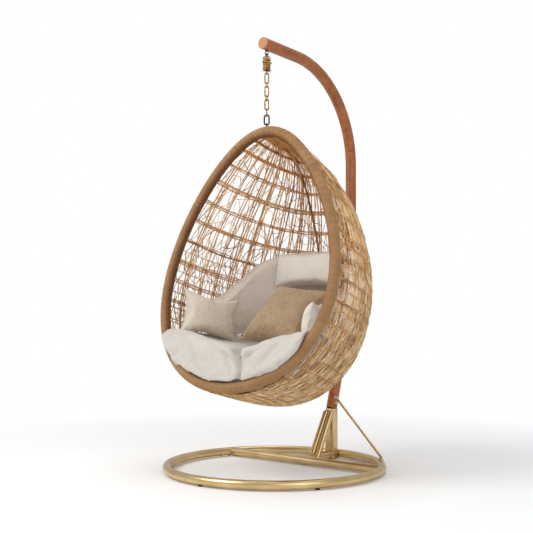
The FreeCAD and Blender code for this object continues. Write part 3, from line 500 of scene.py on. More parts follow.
def tubes(name: str, strands: list[Strand], materials: list, roundness: int = 0) -> Object:
    """Makes one piece of many round strands.

    Args:
        name: the piece's name.
        strands: the strands.
        materials: the materials that the tints choose among.
        roundness: the curve's bevel resolution.

    Returns:
        The piece, a mesh with a UV map round and along each strand.
    """
    curve = bpy.data.curves.new(name, "CURVE")
    curve.dimensions = "3D"
    curve.bevel_depth = 1.0
    curve.bevel_resolution = roundness
    curve.use_fill_caps = True
    for material in materials:
        curve.materials.append(material)
    for strand in strands:
        spline = curve.splines.new("POLY")
        last = len(strand.points) - 1
        spline.points.add(last)
        for count, (point, target) in enumerate(zip(spline.points, strand.points)):
            at_end = count in (0, last) and not strand.closed
            point.co = (*target, 1.0)
            point.radius = strand.radius * (strand.taper if at_end else 1.0)
        spline.use_cyclic_u = strand.closed
        spline.use_smooth = True
        spline.material_index = strand.tint
    holder = show(name + ".line", curve)
    graph = bpy.context.evaluated_depsgraph_get()
    mesh = bpy.data.meshes.new_from_object(holder.evaluated_get(graph))
    bpy.data.objects.remove(holder)
    bpy.data.curves.remove(curve)
    mesh.name = name
    return show(name, mesh)


def settle(piece: Object, body: Body, slot: str, *nodes: str) -> None:
    """Puts a piece on its body and hides the nodes it stands for."""
    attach(piece, body.value)
    if nodes:
        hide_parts(*nodes)
    log.info("%s: %d faces on %s", piece.name, len(piece.data.polygons), body.value)


@dataclass
class BasketForm:
    """The egg's surface: a rim that leans back and a deep bowl behind it."""

    rim_top: float = 1.51515
    rim_length: float = 1.160
    half_width: float = 0.457
    egg: float = 0.23
    egg_ends: float = 0.03
    tilt: float = radians(14.8)
    bow: float = 0.030
    depth: float = 0.655
    fullness: float = 0.44
    lean: float = 0.10
    section: float = 2.2
    rim_radius: float = 0.0245
    rim_gap: float = 0.0003
    core_at: tuple = (0.55, 0.3)
    stations: int = 400
    probe: float = 0.004

    def __post_init__(self) -> None:
        """Measures the bowl's middle line, so that hoops can be spaced evenly along it."""
        self.down = Vector((0, -sin(self.tilt), -cos(self.tilt)))
        self.back = Vector((0, cos(self.tilt), -sin(self.tilt)))
        self.origin = Vector((0, HANG_Y, self.rim_top))
        self.edge = self.rim_radius + self.rim_gap
        low, deep = self.core_at
        self.core = self.origin + self.down * self.rim_length * low + self.back * self.depth * deep
        runs = runs_of([self.point(count / self.stations, pi / 2) for count in range(self.stations + 1)])
        self.shares = [run / runs[-1] for run in runs]

    def turn(self, latitude: float) -> float:
        """The rim's turn, 0 at the top to pi at the bottom, at a latitude from 0 to 1."""
        turn = asin(min(sin(pi * clamp(latitude)) ** (1 / self.fullness), 1.0))
        return turn if latitude <= 0.5 else pi - turn

    def latitude(self, share: float) -> float:
        """The latitude at a share of the length along the bowl's middle line."""
        return sum(place_at(self.shares, min(share, 1.0))) / self.stations

    def rim_width(self, turn: float) -> float:
        """Half the rim's width at a turn."""
        lobe = 1 - self.egg * cos(turn) - self.egg_ends * cos(turn) ** 2
        return self.half_width * sin(turn) * lobe

    def rim_point(self, turn: float, side: float) -> Vector:
        """A point of the rim's centre line, on the +X side for side 1."""
        width = self.rim_width(turn)
        back = self.bow * (width / self.half_width) ** 2
        drop = self.rim_length / 2 * (1 - cos(turn))
        return self.origin + X_AXIS * (side * width) + self.down * drop + self.back * back

    def rim_loop(self, steps: int) -> list[Vector]:
        """Points round the whole rim: down its +X side and up the other, in as many steps each."""
        turns = [pi * count / steps for count in range(steps)]
        return ([self.rim_point(turn, 1) for turn in turns]
                + [self.rim_point(pi - turn, -1) for turn in turns])

    def point(self, latitude: float, sweep: float) -> Vector:
        """A point of the outer surface; sweep runs from 0 at +X to pi at -X."""
        turn = self.turn(latitude)
        power = 2 / self.section
        across = self.rim_width(turn) * copysign(abs(cos(sweep)) ** power, cos(sweep))
        full = self.depth * sin(turn) ** self.fullness * (1 - self.lean * cos(turn))
        reach = self.edge + max(full - self.edge, 0.0) * max(sin(sweep), 0.0) ** power
        bow = self.bow * (across / self.half_width) ** 2
        drop = self.rim_length / 2 * (1 - cos(turn))
        return self.origin + X_AXIS * across + self.down * drop + self.back * (reach + bow)

    def normal(self, latitude: float, sweep: float) -> Vector:
        """The outward normal of the surface."""
        step = self.probe
        latitude = clamp(latitude, 3 * step, 1 - 3 * step)
        sweep = clamp(sweep, 3 * step, pi - 3 * step)
        along = self.point(latitude + step, sweep) - self.point(latitude - step, sweep)
        round_way = self.point(latitude, sweep + step) - self.point(latitude, sweep - step)
        normal = along.cross(round_way).normalized()
        outward = normal.dot(self.point(latitude, sweep) - self.core) >= 0
        return normal if outward else -normal

    def inside(self, latitude: float, sweep: float, inset: float) -> Vector:
        """A point under the outer surface by an inset, along the normal."""
        return self.point(latitude, sweep) - self.normal(latitude, sweep) * inset


@dataclass
class Wander:
    """A smooth wobble that gives each strand its own small waves."""

    random: random.Random
    reach: float
    waves: tuple = (2.0, 5.0, 11.0)

    def line(self) -> list[tuple[float, float, float]]:
        """Draws one strand's waves: frequency, phase and height of each."""
        return [(frequency * self.random.uniform(0.7, 1.3), self.random.uniform(0, tau),
                 self.reach / (1 + count) * self.random.uniform(0.4, 1.0))
                for count, frequency in enumerate(self.waves)]

    @staticmethod
    def at(line: list, share: float) -> float:
        """The wobble at a share of the strand's length."""
        return sum(height * sin(frequency * share * tau + phase) for frequency, phase, height in line)


@dataclass
class Weave:
    """The woven bowl: groups of canes both ways, twigs across the cells and straw outside."""

    form: BasketForm
    palette: Palette
    long_groups: int = 23
    hoop_groups: int = 20
    steps: int = 56
    sweep_ends: tuple = (0.03, 0.97)
    cane_radius: float = 0.0031
    long_gap: float = 0.0130
    hoop_gap: float = 0.0105
    long_inset: float = 0.0050
    hoop_inset: float = 0.0100
    long_ends: tuple = (0.008, 0.985)
    side_room: float = 0.02
    beside: float = 0.02
    beyond: float = 0.01
    least_span: float = 0.05
    twig_radius: float = 0.0018
    twig_ends: tuple = (0.01, 0.985)
    untied: float = 0.3
    tie_radius: float = 0.0012
    tie_long: float = 0.0095
    tie_high: float = 0.0066
    tie_cross: float = 0.28
    straw_radius: float = 0.0022
    straw_sink: float = 0.0012
    straw_room: float = 0.006
    straw_ends: tuple = (0.012, 0.985)
    straw_sparse: float = 9.0
    straw_close: float = 50.0
    cord_radius: float = 0.0013
    cord_gap: float = 0.0042
    cord_out: float = 0.0026
    cord_wave: float = 0.0012
    rib_radius: float = 0.0055
    rib_inset: float = 0.0150
    rib_length: float = 0.60
    rib_sweeps: tuple = (2.15, 1.70)
    belly: float = 0.022
    belly_from: float = 0.55
    belly_full: float = 0.80
    belly_fade: float = 0.07
    seed: int = 7

    def __post_init__(self) -> None:
        """Seeds the draws and spaces the groups."""
        self.random = random.Random(self.seed)
        first, last = self.sweep_ends
        self.sweeps = [pi * (first + (last - first) * count / (self.long_groups - 1))
                       for count in range(self.long_groups)]
        self.shares = [(count + 1) / (self.hoop_groups + 1) for count in range(self.hoop_groups)]

    def spot(self, along: float, sweep: float, inset: float, margin: float = 0.0) -> Vector:
        """A point under the surface at a share of its length, a margin or more off the rim's sides."""
        return self.form.inside(self.form.latitude(along), clamp(sweep, margin, pi - margin), inset)

    def strand(self, points: list, radius: float, thick: tuple, odds: tuple,
               taper: float = 1.0) -> Strand:
        """A strand whose tint and thickness are drawn."""
        tint = self.random.choices((0, 1, 2), odds)[0]
        return Strand(points, radius * self.random.uniform(*thick), tint, False, taper)

    def long_line(self, sweep: float, shift: float, wander: Wander) -> list[Vector]:
        """A cane that runs down the bowl, beside a sweep."""
        line = wander.line()
        points = []
        for count in range(self.steps + 1):
            share = count / self.steps
            latitude = self.form.latitude(between(*self.long_ends, share))
            aside = min(sweep + self.beside, pi)
            beside = self.form.point(latitude, aside) - self.form.point(latitude, sweep)
            span = max(beside.length / self.beside, self.least_span)
            turned = sweep + (shift + Wander.at(line, share)) / span
            turned = clamp(turned, self.side_room, pi - self.side_room)
            points.append(self.form.inside(latitude, turned, self.long_inset))
        return points

    def hoop_line(self, along: float, side: float, gap: float, wander: Wander, inset: float,
                  wave: float = 0.0) -> list[Vector]:
        """One strand of a pair that runs round the bowl from rim to rim.

        Args:
            along: the share of the bowl's length that the pair follows.
            side: which one of the two it is, -0.5 or 0.5.
            gap: how far the two lie apart.
            wander: its waves.
            inset: its depth under the surface.
            wave: how far it goes in and out between the long canes, against the other one.

        Returns:
            The strand's points.
        """
        line = wander.line()
        latitude = self.form.latitude(along)
        ahead = self.form.point(latitude + self.beyond, pi / 2) - self.form.point(latitude, pi / 2)
        span = ahead.length / self.beyond
        points = []
        for count in range(self.steps + 1):
            share = count / self.steps
            moved = latitude + (side * gap + Wander.at(line, share)) / span
            depth = inset + wave * cos(pi * share * 2 * self.long_groups + pi * (side + 0.5))
            points.append(self.form.inside(moved, pi * share, depth))
        return points

    def long_canes(self) -> None:
        """Groups of two and three canes from the rim's top to its bottom."""
        wander = Wander(self.random, 0.0030)
        strands = []
        for number, sweep in enumerate(self.sweeps):
            group = 3 if number % 3 == 1 else 2
            for place in range(group):
                shift = (place - (group - 1) / 2) * self.long_gap
                points = self.long_line(sweep, shift, wander)
                strands.append(self.strand(points, self.cane_radius, (0.8, 1.15), (5, 5, 1)))
        piece = tubes("weave_long_canes", strands, self.palette.canes, 1)
        settle(piece, Body.BASKET, "rattan_cane", "weave_shell")

    def hoop_canes(self) -> None:
        """Pairs of canes round the bowl, inside the long ones."""
        wander = Wander(self.random, 0.0026)
        strands = []
        for along in self.shares:
            for side in (-0.5, 0.5):
                points = self.hoop_line(along, side, self.hoop_gap, wander, self.hoop_inset)
                strands.append(self.strand(points, self.cane_radius, (0.8, 1.1), (6, 3, 1)))
        settle(tubes("weave_hoop_canes", strands, self.palette.canes, 1), Body.BASKET, "rattan_cane")

    def ties(self) -> None:
        """Small windings at most of the places where the canes cross."""
        strands = []
        for along in self.shares:
            latitude = self.form.latitude(along)
            for sweep in self.sweeps:
                if self.random.random() >= self.untied:
                    strands += self.tie(latitude, sweep)
        settle(tubes("weave_ties", strands, self.palette.canes), Body.BASKET, "rattan_cane")

    def tie(self, latitude: float, sweep: float) -> list[Strand]:
        """Two slanting windings round a crossing."""
        centre = self.form.inside(latitude, sweep, (self.long_inset + self.hoop_inset) / 2)
        normal = self.form.normal(latitude, sweep)
        step = self.beyond
        down = self.form.point(latitude + step, sweep) - self.form.point(latitude - step, sweep)
        down.normalize()
        side = normal.cross(down)
        slant = self.random.choice((-1, 1)) * self.random.uniform(0.5, 0.9)
        windings = []
        for turn in (slant, slant + self.tie_cross):
            way = (down * cos(turn) + side * sin(turn)).normalized()
            loop = [centre + way * (self.tie_long * cos(angle)) + normal * (self.tie_high * sin(angle))
                    for angle in (tau * step / 9 for step in range(9))]
            windings.append(Strand(loop, self.tie_radius, self.random.choice((0, 0, 2)), True))
        return windings

    def twigs(self) -> None:
        """Short bent twigs across the cells between the canes."""
        top, bottom = self.twig_ends
        rows = [top, *self.shares, bottom]
        columns = [self.side_room, *self.sweeps, pi - self.side_room]
        strands = [self.twig(low, high, left, right)
                   for low, high in zip(rows, rows[1:])
                   for left, right in zip(columns, columns[1:])
                   for _ in range(self.random.choice((2, 2, 3)))]
        settle(tubes("weave_twigs", strands, self.palette.straws), Body.BASKET, "straw_weave")

    def twig(self, low: float, high: float, left: float, right: float) -> Strand:
        """One curled twig across a cell, from one of its sides to another."""
        draw = self.random.uniform
        tall, wide = high - low, right - left
        if self.random.random() < 0.6:
            lean = self.random.choice((-1, 1)) * draw(0.5, 1.1)
            middle = draw(0.2, 0.8)
            start = (low - tall * draw(0, 0.1), left + wide * (middle - lean / 2))
            end = (high + tall * draw(0, 0.1), left + wide * (middle + lean / 2))
        else:
            start = (low + tall * draw(0, 1), left - wide * 0.15)
            end = (low + tall * draw(0, 1), right + wide * 0.15)
        bend, curl, depth = draw(-0.45, 0.45), draw(-0.2, 0.2), draw(0.001, 0.0085)
        points = []
        for step in range(8):
            share = step / 7
            bow = bend * 4 * share * (1 - share) + curl * sin(tau * share)
            along = between(start[0], end[0], share) + bow * tall * 0.5
            turned = between(start[1], end[1], share) + bow * wide
            points.append(self.spot(clamp(along, 0.004, 0.99), turned, depth, self.side_room))
        return self.strand(points, self.twig_radius, (0.7, 1.2), (3, 5, 3), 0.5)

    def swell(self, along: float) -> float:
        """How far the straw bulges out of the surface, most under the seat."""
        fade = clamp((1 - along) / self.belly_fade)
        return self.belly * rise(along, self.belly_from, self.belly_full) * fade

    def straw(self, top: float, bottom: float, sweep: float, lean: float, lift: float) -> Strand:
        """One straw from a row's upper cord to its lower one.

        Args:
            top: the upper cord's share of the bowl's length.
            bottom: the lower cord's share.
            sweep: where the straw's middle lies round the bowl.
            lean: how far round the bowl it leans, in radians.
            lift: how far its middle stands off the surface.

        Returns:
            The straw.
        """
        over = (bottom - top) * self.random.uniform(0.02, 0.16)
        bow = self.random.uniform(-0.3, 0.3) * abs(lean) + self.random.gauss(0, 0.004)
        points = []
        for step in range(6):
            share = step / 5
            along = clamp(top - over + (bottom - top + 2 * over) * share, 0.004, 0.985)
            arch = 4 * share * (1 - share)
            turned = sweep + lean * (share - 0.5) + bow * arch
            stand = self.swell(along) + lift * arch - self.straw_sink
            points.append(self.spot(along, turned, -stand, self.straw_room))
        return self.strand(points, self.straw_radius, (0.7, 1.15), (5, 5, 2), 0.65)

    def rows(self) -> list[tuple[float, float]]:
        """The cords round the outside and how close the straw under each is, in straws a radian."""
        first, last = self.straw_ends
        places = [first, *self.shares]
        places += [(low + high) / 2 for low, high in zip(self.shares, self.shares[1:]) if low > 0.42]
        cords = [(along, self.straw_sparse + self.straw_close * clamp((along - 0.28) / 0.34))
                 for along in sorted(places)]
        return [*cords, (last, 0.0)]

    def outer_straw(self) -> None:
        """Straws that lean to and fro between the rows of cord outside, closest at the bottom."""
        cords = self.rows()
        halves = ([], [])
        for (top, density), (bottom, _) in zip(cords, cords[1:]):
            count = int(density * pi)
            for number in range(count):
                sweep = pi * (0.004 + 0.992 * (number + self.random.random()) / count)
                way = 1 if number % 2 else -1
                lean = way * self.random.uniform(0.2, 1.7) * min(0.9 / density, 0.05)
                lift = self.random.uniform(-0.001, 0.0035)
                halves[sweep > pi / 2].append(self.straw(top, bottom, sweep, lean, lift))
        for number, strands in enumerate(halves, 1):
            piece = tubes("weave_outer_straw_%d" % number, strands, self.palette.straws)
            settle(piece, Body.BASKET, "straw_weave")
        self.outer_cords([along for along, _ in cords[1:-1]])

    def outer_cords(self, places: list[float]) -> None:
        """Pairs of thin cords round the outside that hold the straw in its rows."""
        wander = Wander(self.random, 0.0030)
        strands = []
        for along in places:
            for side in (-0.5, 0.5):
                points = self.hoop_line(along, side, self.cord_gap, wander,
                                        -self.swell(along) - self.cord_out, self.cord_wave)
                strands.append(Strand(points, self.cord_radius, self.random.choice((1, 1, 2))))
        settle(tubes("weave_outer_cords", strands, self.palette.straws), Body.BASKET, "straw_weave")

    def main_rib(self) -> None:
        """The one dark rib that shows inside, from the top of the rim down the bowl."""
        places = [0.004 + self.rib_length * count / 40 for count in range(41)]
        line = [self.spot(along, between(*self.rib_sweeps, rise(along, 0.05, 0.42)), self.rib_inset)
                for along in places]
        rib = Strand(line, self.rib_radius, 0, False, 0.7)
        settle(tubes("weave_main_rib", [rib], [self.palette.rib], 2), Body.BASKET, "rattan_cane")

    def build(self) -> None:
        """Builds every part of the weave."""
        self.long_canes()
        self.hoop_canes()
        self.ties()
        self.twigs()
        self.outer_straw()
        self.main_rib()


@dataclass
class Rim:
    """The rim: a core wound all the way round with fine cane."""

    form: BasketForm
    palette: Palette
    binding_radius: float = 0.0027
    pitch: float = 0.0050
    uneven: float = 0.0003
    fine: int = 720
    stations: int = 400
    per_turn: int = 14
    seed: int = 3

    def winding(self, line: list[Vector], turns: int) -> Strand:
        """The fine cane's turns round the rim's line."""
        shaker = random.Random(self.seed)
        total = turns * self.per_turn
        points = []
        for step in range(total):
            place = self.stations * step / total
            low = int(place)
            before, here, after = (line[(low + move) % self.stations] for move in (-1, 0, 1))
            way = (after - before).normalized()
            side = way.cross(self.form.back).normalized()
            up = side.cross(way)
            angle = tau * step / self.per_turn
            reach = self.form.rim_radius - self.binding_radius + shaker.uniform(-self.uneven, self.uneven)
            points.append(here.lerp(after, place - low) + side * (reach * cos(angle))
                          + up * (reach * sin(angle)))
        return Strand(points, self.binding_radius, 0, True)

    def mark_shaded_side(self, mesh: Mesh, line: list[Vector]) -> None:
        """Marks how far each point of the winding faces the middle of the opening, from 0 to 1, for the
        painted shade that the binding's material lays on that side.
        """
        middle = sum(line, Vector()) / len(line)
        finder = finder_of(line)
        values = []
        for vert in mesh.vertices:
            spot, number, _ = finder.find(vert.co)
            way = line[(number + 1) % len(line)] - line[number - 1]
            inward = (middle - spot) - way * ((middle - spot).dot(way) / way.length_squared)
            seat_way = (inward.normalized() + self.form.back * 0.5).normalized()
            values.append(clamp((vert.co - spot).normalized().dot(seat_way) * 1.6 + 0.1))
        mesh.attributes.new("inner", "FLOAT", "POINT").data.foreach_set("value", values)

    def build(self) -> None:
        """Builds the core and its winding."""
        rough = self.form.rim_loop(self.fine)
        rough.append(rough[0])
        runs = runs_of(rough)
        line = []
        for count in range(self.stations):
            low, share = place_at(runs, runs[-1] * count / self.stations)
            line.append(rough[low].lerp(rough[low + 1], share))
        core = Strand(line, self.form.rim_radius - 1.5 * self.binding_radius, 0, True)
        settle(tubes("rim_core", [core], [self.palette.canes[2]], 6), Body.BASKET, "rattan_binding")
        winding = self.winding(line, int(runs[-1] / self.pitch))
        piece = tubes("rim_winding", [winding], [self.palette.binding])
        self.mark_shaded_side(piece.data, line)
        settle(piece, Body.BASKET, "rattan_binding", "rim_wrap")


@dataclass
class Post:
    """The bent wooden post, with its grain along it and its sawn end."""

    radius: float = 0.026
    socket_y: float = 0.3737
    socket_top: float = 0.245
    set_back: float = 0.662
    straight_from: float = 1.300
    straight_to: float = 1.440
    bend: float = 0.455
    rise: float = radians(2.4)
    overhang: float = 0.030
    end_depth: float = 0.008
    end_round: float = 0.003

    def arc(self, height: float, radius: float, angles: list[float]) -> list[Vector]:
        """A bend of the post that is upright at a height."""
        post_y = HANG_Y + self.set_back
        return [Vector((0, post_y - radius * (1 - cos(angle)), height + radius * sin(angle)))
                for angle in angles]

    def line(self) -> list[Vector]:
        """The centre line from the socket to the tip."""
        across = HANG_Y + self.set_back - self.socket_y
        up = self.straight_from - self.socket_top
        low_bend = (across ** 2 + up ** 2) / (2 * across)
        first = asin(up / low_bend)
        last = pi / 2 - self.rise
        points = self.arc(self.straight_from, low_bend, [-first * (1 - count / 30) for count in range(31)])
        points += self.arc(self.straight_to, self.bend, [last * count / 40 for count in range(41)])
        start = points[-1]
        self.tip_way = Vector((0, -sin(last), cos(last)))
        self.tip = start + self.tip_way * ((start.y - (HANG_Y - self.overhang)) / -self.tip_way.y)
        return [*points, start.lerp(self.tip, 0.5), start.lerp(self.tip, 0.985)]

    def sawn_end(self) -> Mesh:
        """The rounded disc at the tip."""
        bm = bmesh.new()
        bmesh.ops.create_cone(bm, cap_ends=True, segments=64, radius1=self.radius,
                              radius2=self.radius, depth=self.end_depth)
        edges = [edge for edge in bm.edges if all(vert.co.z > 0 for vert in edge.verts)]
        bmesh.ops.bevel(bm, geom=edges, offset=self.end_round, segments=4, profile=0.5, affect="EDGES",
                        material=-1)
        turn = Z_AXIS.rotation_difference(self.tip_way).to_matrix().to_4x4()
        place = Matrix.Translation(self.tip - self.tip_way * (self.end_depth / 2)) @ turn
        bmesh.ops.transform(bm, matrix=place, verts=bm.verts)
        return mesh_of(bm, "post_end", False)

    def build(self) -> None:
        """Builds the post and its end."""
        line = self.line()
        wood = StainedWood("stained_wood", (192, 122, 62), (168, 100, 46), (138, 78, 32),
                           runs_of(line)[-1]).build()
        piece = tubes("post_wood", [Strand(line, self.radius)], [wood], 14)
        settle(piece, Body.STAND, "stained_wood", "bent_post")
        end = EndGrain("end_grain", self.tip + Vector((0.004, 0, 0.006)), (206, 150, 106),
                       (176, 112, 70)).build()
        settle(link_mesh(self.sawn_end(), end), Body.STAND, "stained_wood")


@dataclass
class Chain:
    """The chain's links, each a bent rod with a weld."""

    palette: Palette
    wire: float = 0.003
    width: float = 0.022
    big_wire: float = 0.0035
    big_width: float = 0.028
    weld: tuple = (0.40, 0.42, 0.58, 0.60)
    weld_swell: float = 1.16
    weld_taper: float = 0.86

    @staticmethod
    def loop(centre: Vector, length: float, width: float, wire: float, across: Vector) -> list[Vector]:
        """The closed centre line of a link."""
        bend = width / 2 - wire
        straight = length / 2 - wire - bend
        return [centre + Z_AXIS * (side * (straight + bend * sin(angle)))
                + across * (side * bend * cos(angle))
                for side in (1, -1) for angle in (pi * count / 12 for count in range(13))]

    def link(self, node: str, body: Body, width: float, wire: float, across: Vector, slot: str,
             finish: Material) -> None:
        """Builds the link that stands for a node."""
        low, high = (Vector(corner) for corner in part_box(node))
        centre = Vector((0, HANG_Y, (low.z + high.z) / 2))
        points = self.loop(centre, high.z - low.z, width, wire, across)
        weld = [points[12].lerp(points[13], share) for share in self.weld]
        strands = [Strand(points, wire, 0, True),
                   Strand(weld, wire * self.weld_swell, 0, False, self.weld_taper)]
        settle(tubes(node + "_rod", strands, [finish], 3), body, slot, node)

    def build(self) -> None:
        """Builds the six links and the large one."""
        for number in range(1, 7):
            self.link("chain_link_%d" % number, Body("link_%d" % number), self.width, self.wire,
                      ACROSS if number % 2 else ALONG, "aged_brass", self.palette.brass)
        self.link("big_link", Body.BIG_LINK, self.big_width, self.big_wire, ACROSS, "dark_steel",
                  self.palette.bronze)


@dataclass
class RopeWrap:
    """Rope wound round the swivel, with a knot at its middle and frayed ends."""

    palette: Palette
    rope_radius: float = 0.0034
    coil_radius: float = 0.0145
    turns: int = 8
    lay: float = 0.016
    yarn_out: float = 0.52
    yarn_size: float = 0.54
    knot_at: float = 0.62
    frays: int = 60
    fray_radius: float = 0.0004
    seed: int = 11

    def twisted(self, line: list[Vector], size: float) -> list[Strand]:
        """Three yarns twisted round a line."""
        runs = runs_of(line)
        last = len(line) - 1
        strands = []
        for yarn in range(3):
            points = []
            for count, here in enumerate(line):
                way = (line[min(count + 1, last)] - line[max(count - 1, 0)]).normalized()
                side = way.cross(Z_AXIS + X_AXIS * 0.01).normalized()
                angle = tau * (runs[count] / self.lay + yarn / 3)
                offset = side * cos(angle) + side.cross(way) * sin(angle)
                points.append(here + offset * size * self.yarn_out)
            strands.append(Strand(points, size * self.yarn_size, 0, False, 0.7))
        return strands

    def fray(self, shaker: random.Random, base: float, span: float) -> Strand:
        """One loose fibre that stands off the rope."""
        angle = shaker.uniform(0, tau)
        height = base + span * shaker.choice((0.02, self.knot_at, 0.98, shaker.random()))
        root = Vector((0, HANG_Y, 0)) + round_about(angle, 1, 0) * self.coil_radius
        root.z = height
        way = round_about(angle, 1, shaker.uniform(-0.6, 0.6)).normalized()
        reach = self.rope_radius + shaker.uniform(0.001, 0.005)
        curl = Z_AXIS * shaker.uniform(-0.003, 0.003)
        return Strand([root, root + way * reach * 0.6, root + way * reach + curl], self.fray_radius, 0,
                      False, 0.4)

    def build(self) -> None:
        """Builds the winding, the knot and the frayed ends."""
        low, high = (Vector(corner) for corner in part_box("jute_wrap"))
        axis = Vector((0, HANG_Y, 0))
        base = low.z + self.rope_radius
        span = high.z - low.z - 2 * self.rope_radius
        steps = self.turns * 40
        coil, knot = [], []
        for count in range(steps + 1):
            angle = tau * self.turns * count / steps
            height = base + span * count / steps + 0.0006 * sin(angle * 0.7)
            coil.append(axis + round_about(angle, self.coil_radius + 0.0005 * sin(angle * 1.3), height))
        for count in range(61):
            angle = tau * 1.5 * count / 60 + 2.0
            reach = self.coil_radius + self.rope_radius * 1.25 + 0.001 * sin(3 * angle)
            height = base + span * self.knot_at + 0.004 * sin(angle * 0.66)
            knot.append(axis + round_about(angle, reach, height))
        shaker = random.Random(self.seed)
        strands = self.twisted(coil, self.rope_radius) + self.twisted(knot, self.rope_radius * 0.85)
        strands += [self.fray(shaker, base, span) for _ in range(self.frays)]
        settle(tubes("rope_wrap", strands, [self.palette.jute], 1), Body.SWIVEL, "jute", "jute_wrap")


def bake(piece: Object) -> None:
    """Makes a piece's modifiers part of its mesh."""
    materials = list(piece.data.materials)
    graph = bpy.context.evaluated_depsgraph_get()
    mesh = bpy.data.meshes.new_from_object(piece.evaluated_get(graph))
    piece.modifiers.clear()
    mesh.materials.clear()
    for material in materials:
        mesh.materials.append(material)
    for face in mesh.polygons:
        face.use_smooth = True
    mesh.name = piece.name
    piece.data = mesh


def even_skin(piece: Object, voxel: float, smoothing: int = 0) -> None:
    """Gives a piece an even skin, smoothed a number of times."""
    remesh = piece.modifiers.new("even", "REMESH")
    remesh.mode = "VOXEL"
    remesh.voxel_size = voxel
    if smoothing:
        soften = piece.modifiers.new("soften", "SMOOTH")
        soften.factor = 0.6
        soften.iterations = smoothing
    bake(piece)


def puff(piece: Object, cap: float, pressure: float = 4.0) -> None:
    """Puffs an even closed form like a stuffed pad, by a short cloth simulation under pressure.

    Args:
        piece: the closed form, changed in place.
        cap: how far a point may move.
        pressure: the air pressure inside.
    """
    mesh = piece.data
    settings = piece.modifiers.new("puff", "CLOTH").settings
    settings.quality = 4
    settings.use_pressure = True
    settings.uniform_pressure_force = pressure
    settings.effector_weights.gravity = 0.0
    settings.shrink_min = -0.03
    settings.tension_stiffness = 18
    settings.compression_stiffness = 18
    settings.bending_stiffness = 0.4
    before = [vert.co.copy() for vert in mesh.vertices]
    scene = bpy.context.scene
    for frame in range(1, 21):
        scene.frame_set(frame)
    graph = bpy.context.evaluated_depsgraph_get()
    moved = [vert.co.copy() for vert in piece.evaluated_get(graph).data.vertices]
    piece.modifiers.clear()
    for vert, start, end in zip(mesh.vertices, before, moved):
        step = end - start
        vert.co = start + (step.normalized() * cap if step.length > cap else step)
    scene.frame_set(1)
    finer = piece.modifiers.new("finer", "SUBSURF")
    finer.levels = 1
    finer.render_levels = 1


@dataclass
class Pad:
    """A stuffed pillow: a crowned closed form, puffed by a cloth simulation, with a sewn seam."""

    name: str
    node: str
    slot: str
    finish: Material
    width: float
    height: float
    thickness: float
    centre: tuple
    yaw: float = 0.0
    lean: float = 0.0
    roll: float = 0.0
    draw: float = 0.10
    cap: float = 0.016
    fill: float = 0.6
    voxel: float = 0.006
    edge: float = 0.004
    cuts: int = 22
    seam_steps: int = 24
    seam_radius: float = 0.0011
    seam_lift: float = 0.0003

    def placing(self) -> Matrix:
        """Where the pad lies."""
        turn = Matrix()
        for angle, axis in ((self.yaw, "Z"), (self.lean, "X"), (self.roll, "Y")):
            turn = turn @ Matrix.Rotation(radians(angle), 4, axis)
        return Matrix.Translation(Vector((0, HANG_Y, 0)) + Vector(self.centre)) @ turn

    def shape(self, spot: Vector) -> Vector:
        """Moves a point of a cube of half size 1 to the pad's own form, before it is placed."""
        crown = max(1 - abs(spot.x) ** 2.6, 0.0) * max(1 - abs(spot.z) ** 2.6, 0.0)
        deep = spot.y * (self.edge + (self.thickness / 2 - self.edge) * crown ** 0.55)
        across = spot.x * self.width / 2 * (1 - self.draw * (1 - spot.z ** 2))
        up = spot.z * self.height / 2 * (1 - self.draw * (1 - spot.x ** 2))
        return Vector((across, deep, up))

    def blank(self, place: Matrix) -> Object:
        """The pad before it is puffed."""
        bm = bmesh.new()
        bmesh.ops.create_cube(bm, size=2.0)
        bmesh.ops.subdivide_edges(bm, edges=bm.edges, cuts=self.cuts, use_grid_fill=True)
        for vert in bm.verts:
            vert.co = place @ self.shape(vert.co)
        return link_mesh(mesh_of(bm, self.name), self.finish)

    def stitch(self, piece: Object, place: Matrix) -> None:
        """Lays the seam's fine cord on the pad's edge."""
        corners = [(-1, -1), (1, -1), (1, 1), (-1, 1)]
        points = []
        for (left, low), (right, high) in zip(corners, corners[1:] + corners[:1]):
            for share in (step / self.seam_steps for step in range(self.seam_steps)):
                edge = Vector((between(left, right, share), 0, between(low, high, share)))
                found, spot, normal, _ = piece.closest_point_on_mesh(place @ self.shape(edge))
                if found:
                    points.append(spot + normal * self.seam_lift)
        seam = Strand(points, self.seam_radius, 0, True)
        settle(tubes(self.name + "_seam", [seam], [self.finish], 1), Body.BASKET, self.slot)

    def build(self) -> None:
        """Builds the pad and its seam."""
        place = self.placing()
        piece = self.blank(place)
        even_skin(piece, self.voxel)
        puff(piece, self.cap)
        settle(piece, Body.BASKET, self.slot, self.node)
        self.stitch(piece, place)


@dataclass
class RimLine:
    """The rim's centre line, and where a point lies from it."""

    form: BasketForm
    steps: int = 400

    def __post_init__(self) -> None:
        """Samples the line and prepares the search for its nearest point."""
        self.line = self.form.rim_loop(self.steps)
        self.middle = sum(self.line, Vector()) / len(self.line)
        self.finder = finder_of(self.line)

    def frame(self, point: Vector) -> tuple[Vector, Vector, Vector]:
        """The gap from the line to a point, the way out of the opening and the way to the front."""
        _, number, _ = self.finder.find(point)
        way = (self.line[(number + 1) % len(self.line)] - self.line[number - 1]).normalized()
        gap = point - self.line[number]
        gap -= way * gap.dot(way)
        out = self.line[number] - self.middle
        out -= way * out.dot(way)
        out -= self.form.back * out.dot(self.form.back)
        return gap, out.normalized(), -self.form.back

    def keep_clear(self, mesh: Mesh, room: float) -> None:
        """Pushes a mesh off the rim, wherever it comes nearer to the centre line than the room."""
        for vert in mesh.vertices:
            gap = self.frame(vert.co)[0]
            if gap.length < room:
                vert.co += gap.normalized() * (room - gap.length)


